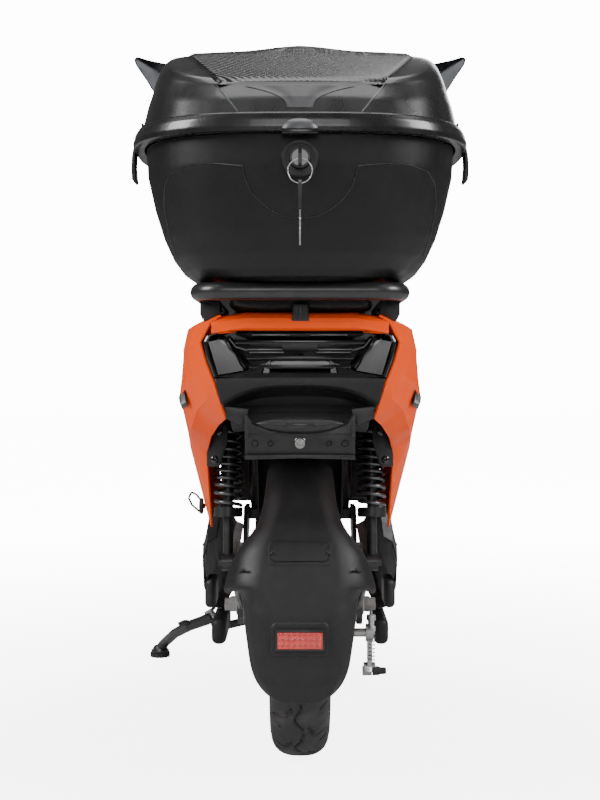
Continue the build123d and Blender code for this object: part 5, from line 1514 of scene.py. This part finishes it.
def buildApron():
    panel = smoothSheet("apron", levelRows(front["apron"]), 90, 70, thick=2.6, sharp=50)
    paint(panel, "orangePaint")
    parts = [panel]
    for side in (-1, 1):
        lampSeat = box("lampSeat", side * 112, side * 130.5, 1040, 1080, 598, 658, 5, 4)
        paint(lampSeat, "blackGloss")
        lens = box("turnLamp", side * 116, side * 133, 1044, 1078, 603, 653, 5, 4)
        paint(lens, "amberLens")
        parts += [lampSeat, lens]
    nose = smoothSheet("nose", [[(-38, 1122, 560), (0, 1149, 556), (38, 1122, 560)],
                                [(-44, 1108, 640), (0, 1137, 640), (44, 1108, 640)],
                                [(-34, 1098, 740), (0, 1108, 742), (34, 1098, 740)]], 30, 40, thick=2,
                                sharp=60)
    paint(nose, "blackSatin")
    return join("frontApron", parts + [nose])


def buildFender():
    # channel round the front wheel, with a rolled edge and a raised middle
    angle = np.radians(np.linspace(front["fenderFrom"], front["fenderTo"], 90))[:, None]
    u = np.linspace(-1, 1, 61)[None, :]
    reach = np.abs(u)
    edge = np.clip((np.linspace(0, 1, 90)[:, None] - 0.93) / 0.07, 0, 1) ** 2
    half = front["fenderHalf"] * (1 - 0.22 * edge)
    drop = 25 * np.clip((reach - 0.66) / 0.34, 0, 1) ** 1.8 - 2.2 * np.clip(1 - reach / 0.4, 0, 1) ** 0.6
    radius = wheelRadius / mm + 17 - drop
    grid = np.stack([half * u + 0 * angle, frontPlace[1] + radius * np.cos(angle),
                     frontPlace[2] + radius * np.sin(angle)], axis=-1)
    return surface("frontFender", grid, thick=2.6, sharp=45)


def buildCowl():
    low, high = (np.array(corner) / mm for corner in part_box("handlebar_cowl"))
    y0, y1 = low[1] - axle[1] / mm, high[1] - axle[1] / mm
    rows = []
    # share of the length, half width below and above, bottom and top height
    for share, below, above, z0, z1 in [(0.0, 40, 34, 988, 1034), (0.02, 58, 46, 982, 1042),
                                        (0.12, 72, 58, 976, 1046), (0.46, 94, 74, 966, 1055),
                                        (0.74, 82, 64, 966, 1044), (0.95, 62, 50, 968, 1026),
                                        (1.0, 52, 44, 972, 1020)]:
        turn = np.linspace(0, 2 * np.pi, 72, endpoint=False)
        c, s = np.cos(turn), np.sin(turn)
        half = np.where(s > 0, above, below)
        x = half * np.sign(c) * np.abs(c) ** 0.62
        z = (z0 + z1) / 2 + (z1 - z0) / 2 * np.sign(s) * np.abs(s) ** 0.62
        rows.append(np.column_stack([x, np.full(72, y0 + (y1 - y0) * share), z]))
    shell = surface("cowl", easedThrough(np.array(rows), 60), wrapCols=True, capEnds=True, sharp=50)
    paint(shell, "orangePaint")
    bezel = box("bezel", -44, 44, y0 - 4, y0 + 8, 992, 1036, 4, 4)
    paint(bezel, "blackSatin")
    screen = box("screen", -38, 38, y0 - 5.2, y0, 996, 1032, 2.5, 3)
    paint(screen, "screenGlass")
    return join("handlebarCowl", [shell, bezel, screen])


def buildHeadlamp():
    low, high = (np.array(corner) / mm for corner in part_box("headlamp"))
    y0, y1 = low[1] - axle[1] / mm - 3, high[1] - axle[1] / mm
    centre = np.array([0, 996.0])
    line = resample([(-50, 976), (50, 976), (44, 1016), (-44, 1016)], 80, closed=True)
    rings = []
    for share, y in [(1.02, y0), (1.03, y1 - 2), (1.0, y1), (0.93, y1), (0.9, y1 - 3)]:
        ring = centre + (line - centre) * share
        rings.append(np.column_stack([ring[:, 0], np.full(80, y), ring[:, 1]]))
    bezel = surface("bezel", np.array(rings), wrapCols=True, sharp=40)
    paint(bezel, "blackSatin")
    rings = []
    for share in np.linspace(0.92, 0.02, 10):
        ring = centre + (line - centre) * share
        rings.append(np.column_stack([ring[:, 0], y1 - 2.5 + 2.5 * (1 - share ** 2) + 0 * ring[:, 0],
                                      ring[:, 1]]))
    glass = surface("glass", np.array(rings), wrapCols=True, sharp=180)
    paint(glass, "clearLens")
    return join("headlampLens", [bezel, glass])


dress(buildShield(), None, "body", "leg_shield", slot="black_plastic")
dress(buildApron(), None, "body", "front_apron", slot="orange_gloss")
dress(buildFender(), finishes["orangePaint"], "fork", "front_fender", slot="orange_gloss")
dress(buildCowl(), None, "steering", "handlebar_cowl")
dress(buildHeadlamp(), None, "steering", "headlamp", slot="clear_lens")
print("stage: front covers")


# Small parts beside the wheel: axle nuts with washers, and the end of the brake cable.
def buildAxleNuts():
    parts = []
    for side in (-1, 1):
        for at, size in ((88, 11.5), (97, 9.5)):
            nut = [(side * at, 0.02), (side * at, size), (side * (at + 7), size),
                   (side * (at + 7.6), size - 1.2), (side * (at + 7.6), 0.02)]
            parts.append(lathe("nut", nut, (0, 0, wheelRadius / mm), axis="x", steps=6, sharp=20))
        washer = [(side * 86.6, 0.02), (side * 86.6, 15), (side * 88.2, 15), (side * 88.2, 0.02)]
        parts.append(lathe("washer", washer, (0, 0, wheelRadius / mm), axis="x", steps=32))
    return join("axleNuts", [paint(part, "zincSteel") for part in parts])


def buildCableEnd():
    parts = []

    def add(piece, finishName):
        parts.append(paint(piece, finishName))

    # the spring and the threaded end past the arm's tip
    t = np.linspace(0, 1, 160)
    add(tube("spring", np.column_stack([98 + 5 * np.cos(44 * t), -14 - 5 * np.sin(44 * t), 128 + 36 * t]),
             0.9, 8),
        "zincSteel")
    add(tube("rod", [(98, -14, 116), (98, -14, 196)], 2.0, 12), "zincSteel")
    add(lathe("adjuster", [(0.0, 6.2), (6, 6.2), (6.6, 4.4), (14, 4.4), (15, 6.4), (22, 6.4), (22, 2),
                           (0, 2)],
              (98, -14, 168), axis="z", steps=28), "brightAlloy")
    add(lathe("boot", [(100, 6.5), (108, 6.2), (111, 5), (118, 4.6), (119, 3), (119, 0.02), (100, 0.02)],
              (0, -14, 113), axis="x", steps=28), "rubber")
    add(lathe("clevis", [(86, 6.8), (98, 6.8), (99, 6), (99, 0.02), (86, 0.02)], (0, -14, 113), axis="x",
              steps=6,
              sharp=20), "zincSteel")
    return join("brakeCableEnd", parts)


dress(buildAxleNuts(), None, "arm")
dress(buildCableEnd(), None, "arm")
print("stage: small parts")


# Camera, lights and floor.
view = {"back": 1.8, "height": 0.528, "lens": 58.23, "shift": -0.0375}

camera = bpy.data.objects.new("camera", bpy.data.cameras.new("camera"))
bpy.context.collection.objects.link(camera)
camera.data.lens = view["lens"]
camera.data.sensor_width = 36
camera.data.shift_y = view["shift"]
camera.location = (0, axle[1] - view["back"], view["height"])
camera.rotation_euler = (math.radians(90), 0, 0)
bpy.context.scene.camera = camera


lights = {
    # place, the point it faces, side in metres and watts
    "keyLeft": ((-2.5, -1.9, 2.2), (0, -0.5, 0.6), 1.3, 104),
    "keyRight": ((2.5, -1.9, 2.2), (0, -0.5, 0.6), 1.3, 96),
    "topSoft": ((0, -0.9, 3.1), (0, -0.6, 0.6), 2.0, 62),
    "behindCamera": ((0, -5.0, 1.9), (0, -0.5, 0.6), 1.6, 30),
    "frontFill": ((0.9, 3.0, 2.2), (0, 0, 0.6), 1.8, 36),
}


def areaLight(name, spot, target, size, power):
    data = bpy.data.lights.new(name, "AREA")
    data.shape = "RECTANGLE"
    data.size = data.size_y = size
    data.energy = power
    light = bpy.data.objects.new(name, data)
    bpy.context.collection.objects.link(light)
    light.location = spot
    way = np.array(target, dtype=float) - np.array(spot, dtype=float)
    flat = math.hypot(way[0], way[1])
    light.rotation_euler = (math.atan2(flat, -way[2]), 0, math.atan2(way[0], -way[1]) + math.pi)


for name, (spot, target, size, power) in lights.items():
    areaLight(name, spot, target, size, power)


def backdrop(tree, glow, paintedShadowReach=None):
    # bright to the camera and dim in reflections, so dark plastics keep their depth;
    # with a shadow reach, the glow is painted low round the rear wheel and grows with the distance from it
    # between two reaches: a painted shadow on the floor
    nodes, links = tree.nodes, tree.links
    seen = nodes.new("ShaderNodeLightPath")
    level = nodes.new("ShaderNodeMapRange")
    level.inputs["To Min"].default_value = glow[0]
    level.inputs["To Max"].default_value = glow[1]
    links.new(seen.outputs["Is Camera Ray"], level.inputs["Value"])
    if not paintedShadowReach:
        return level.outputs["Result"]
    where = nodes.new("ShaderNodeNewGeometry")
    reach = nodes.new("ShaderNodeVectorMath")
    reach.operation = "DISTANCE"
    reach.inputs[1].default_value = (0, axle[1], 0)
    links.new(where.outputs["Position"], reach.inputs[0])
    share = nodes.new("ShaderNodeMapRange")
    share.inputs["From Min"].default_value = paintedShadowReach[0]
    share.inputs["From Max"].default_value = paintedShadowReach[1]
    share.inputs["To Min"].default_value = 0.4
    links.new(reach.outputs["Value"], share.inputs["Value"])
    paintedShadowGlow = nodes.new("ShaderNodeMath")
    paintedShadowGlow.operation = "MULTIPLY"
    links.new(level.outputs["Result"], paintedShadowGlow.inputs[0])
    links.new(share.outputs["Result"], paintedShadowGlow.inputs[1])
    return paintedShadowGlow.outputs["Value"]


floorSide = 14.0
corners = [(-floorSide, -floorSide, 0), (floorSide, -floorSide, 0), (floorSide, floorSide, 0),
           (-floorSide, floorSide, 0)]
floorMesh = bpy.data.meshes.new("floor")
floorMesh.from_pydata(corners, [], [(0, 1, 2, 3)])
floor = bpy.data.objects.new("floor", floorMesh)
bpy.context.collection.objects.link(floor)
paper = bpy.data.materials.new("paper")
paper.use_nodes = True
paperShader = paper.node_tree.nodes["Principled BSDF"]
paperShader.inputs["Base Color"].default_value = (0.62, 0.62, 0.62, 1)
paperShader.inputs["Roughness"].default_value = 0.9
paperShader.inputs["Specular IOR Level"].default_value = 0.1
paperShader.inputs["Emission Color"].default_value = (1, 1, 1, 1)
# the floor's glow drops to 0.4 of its strength within 0.4 m of the rear wheel and is full past 2.4 m: a
# painted shadow round the tyre
paper.node_tree.links.new(backdrop(paper.node_tree, (0.0, 13.4), (0.4, 2.4)),
                          paperShader.inputs["Emission Strength"])
floor.data.materials.append(paper)

world = bpy.data.worlds.new("studio")
world.use_nodes = True
sky = world.node_tree.nodes["Background"]
sky.inputs["Color"].default_value = (1, 1, 1, 1)
world.node_tree.links.new(backdrop(world.node_tree, (0.11, 14.0)), sky.inputs["Strength"])
bpy.context.scene.world = world

print("stage: camera and floor")
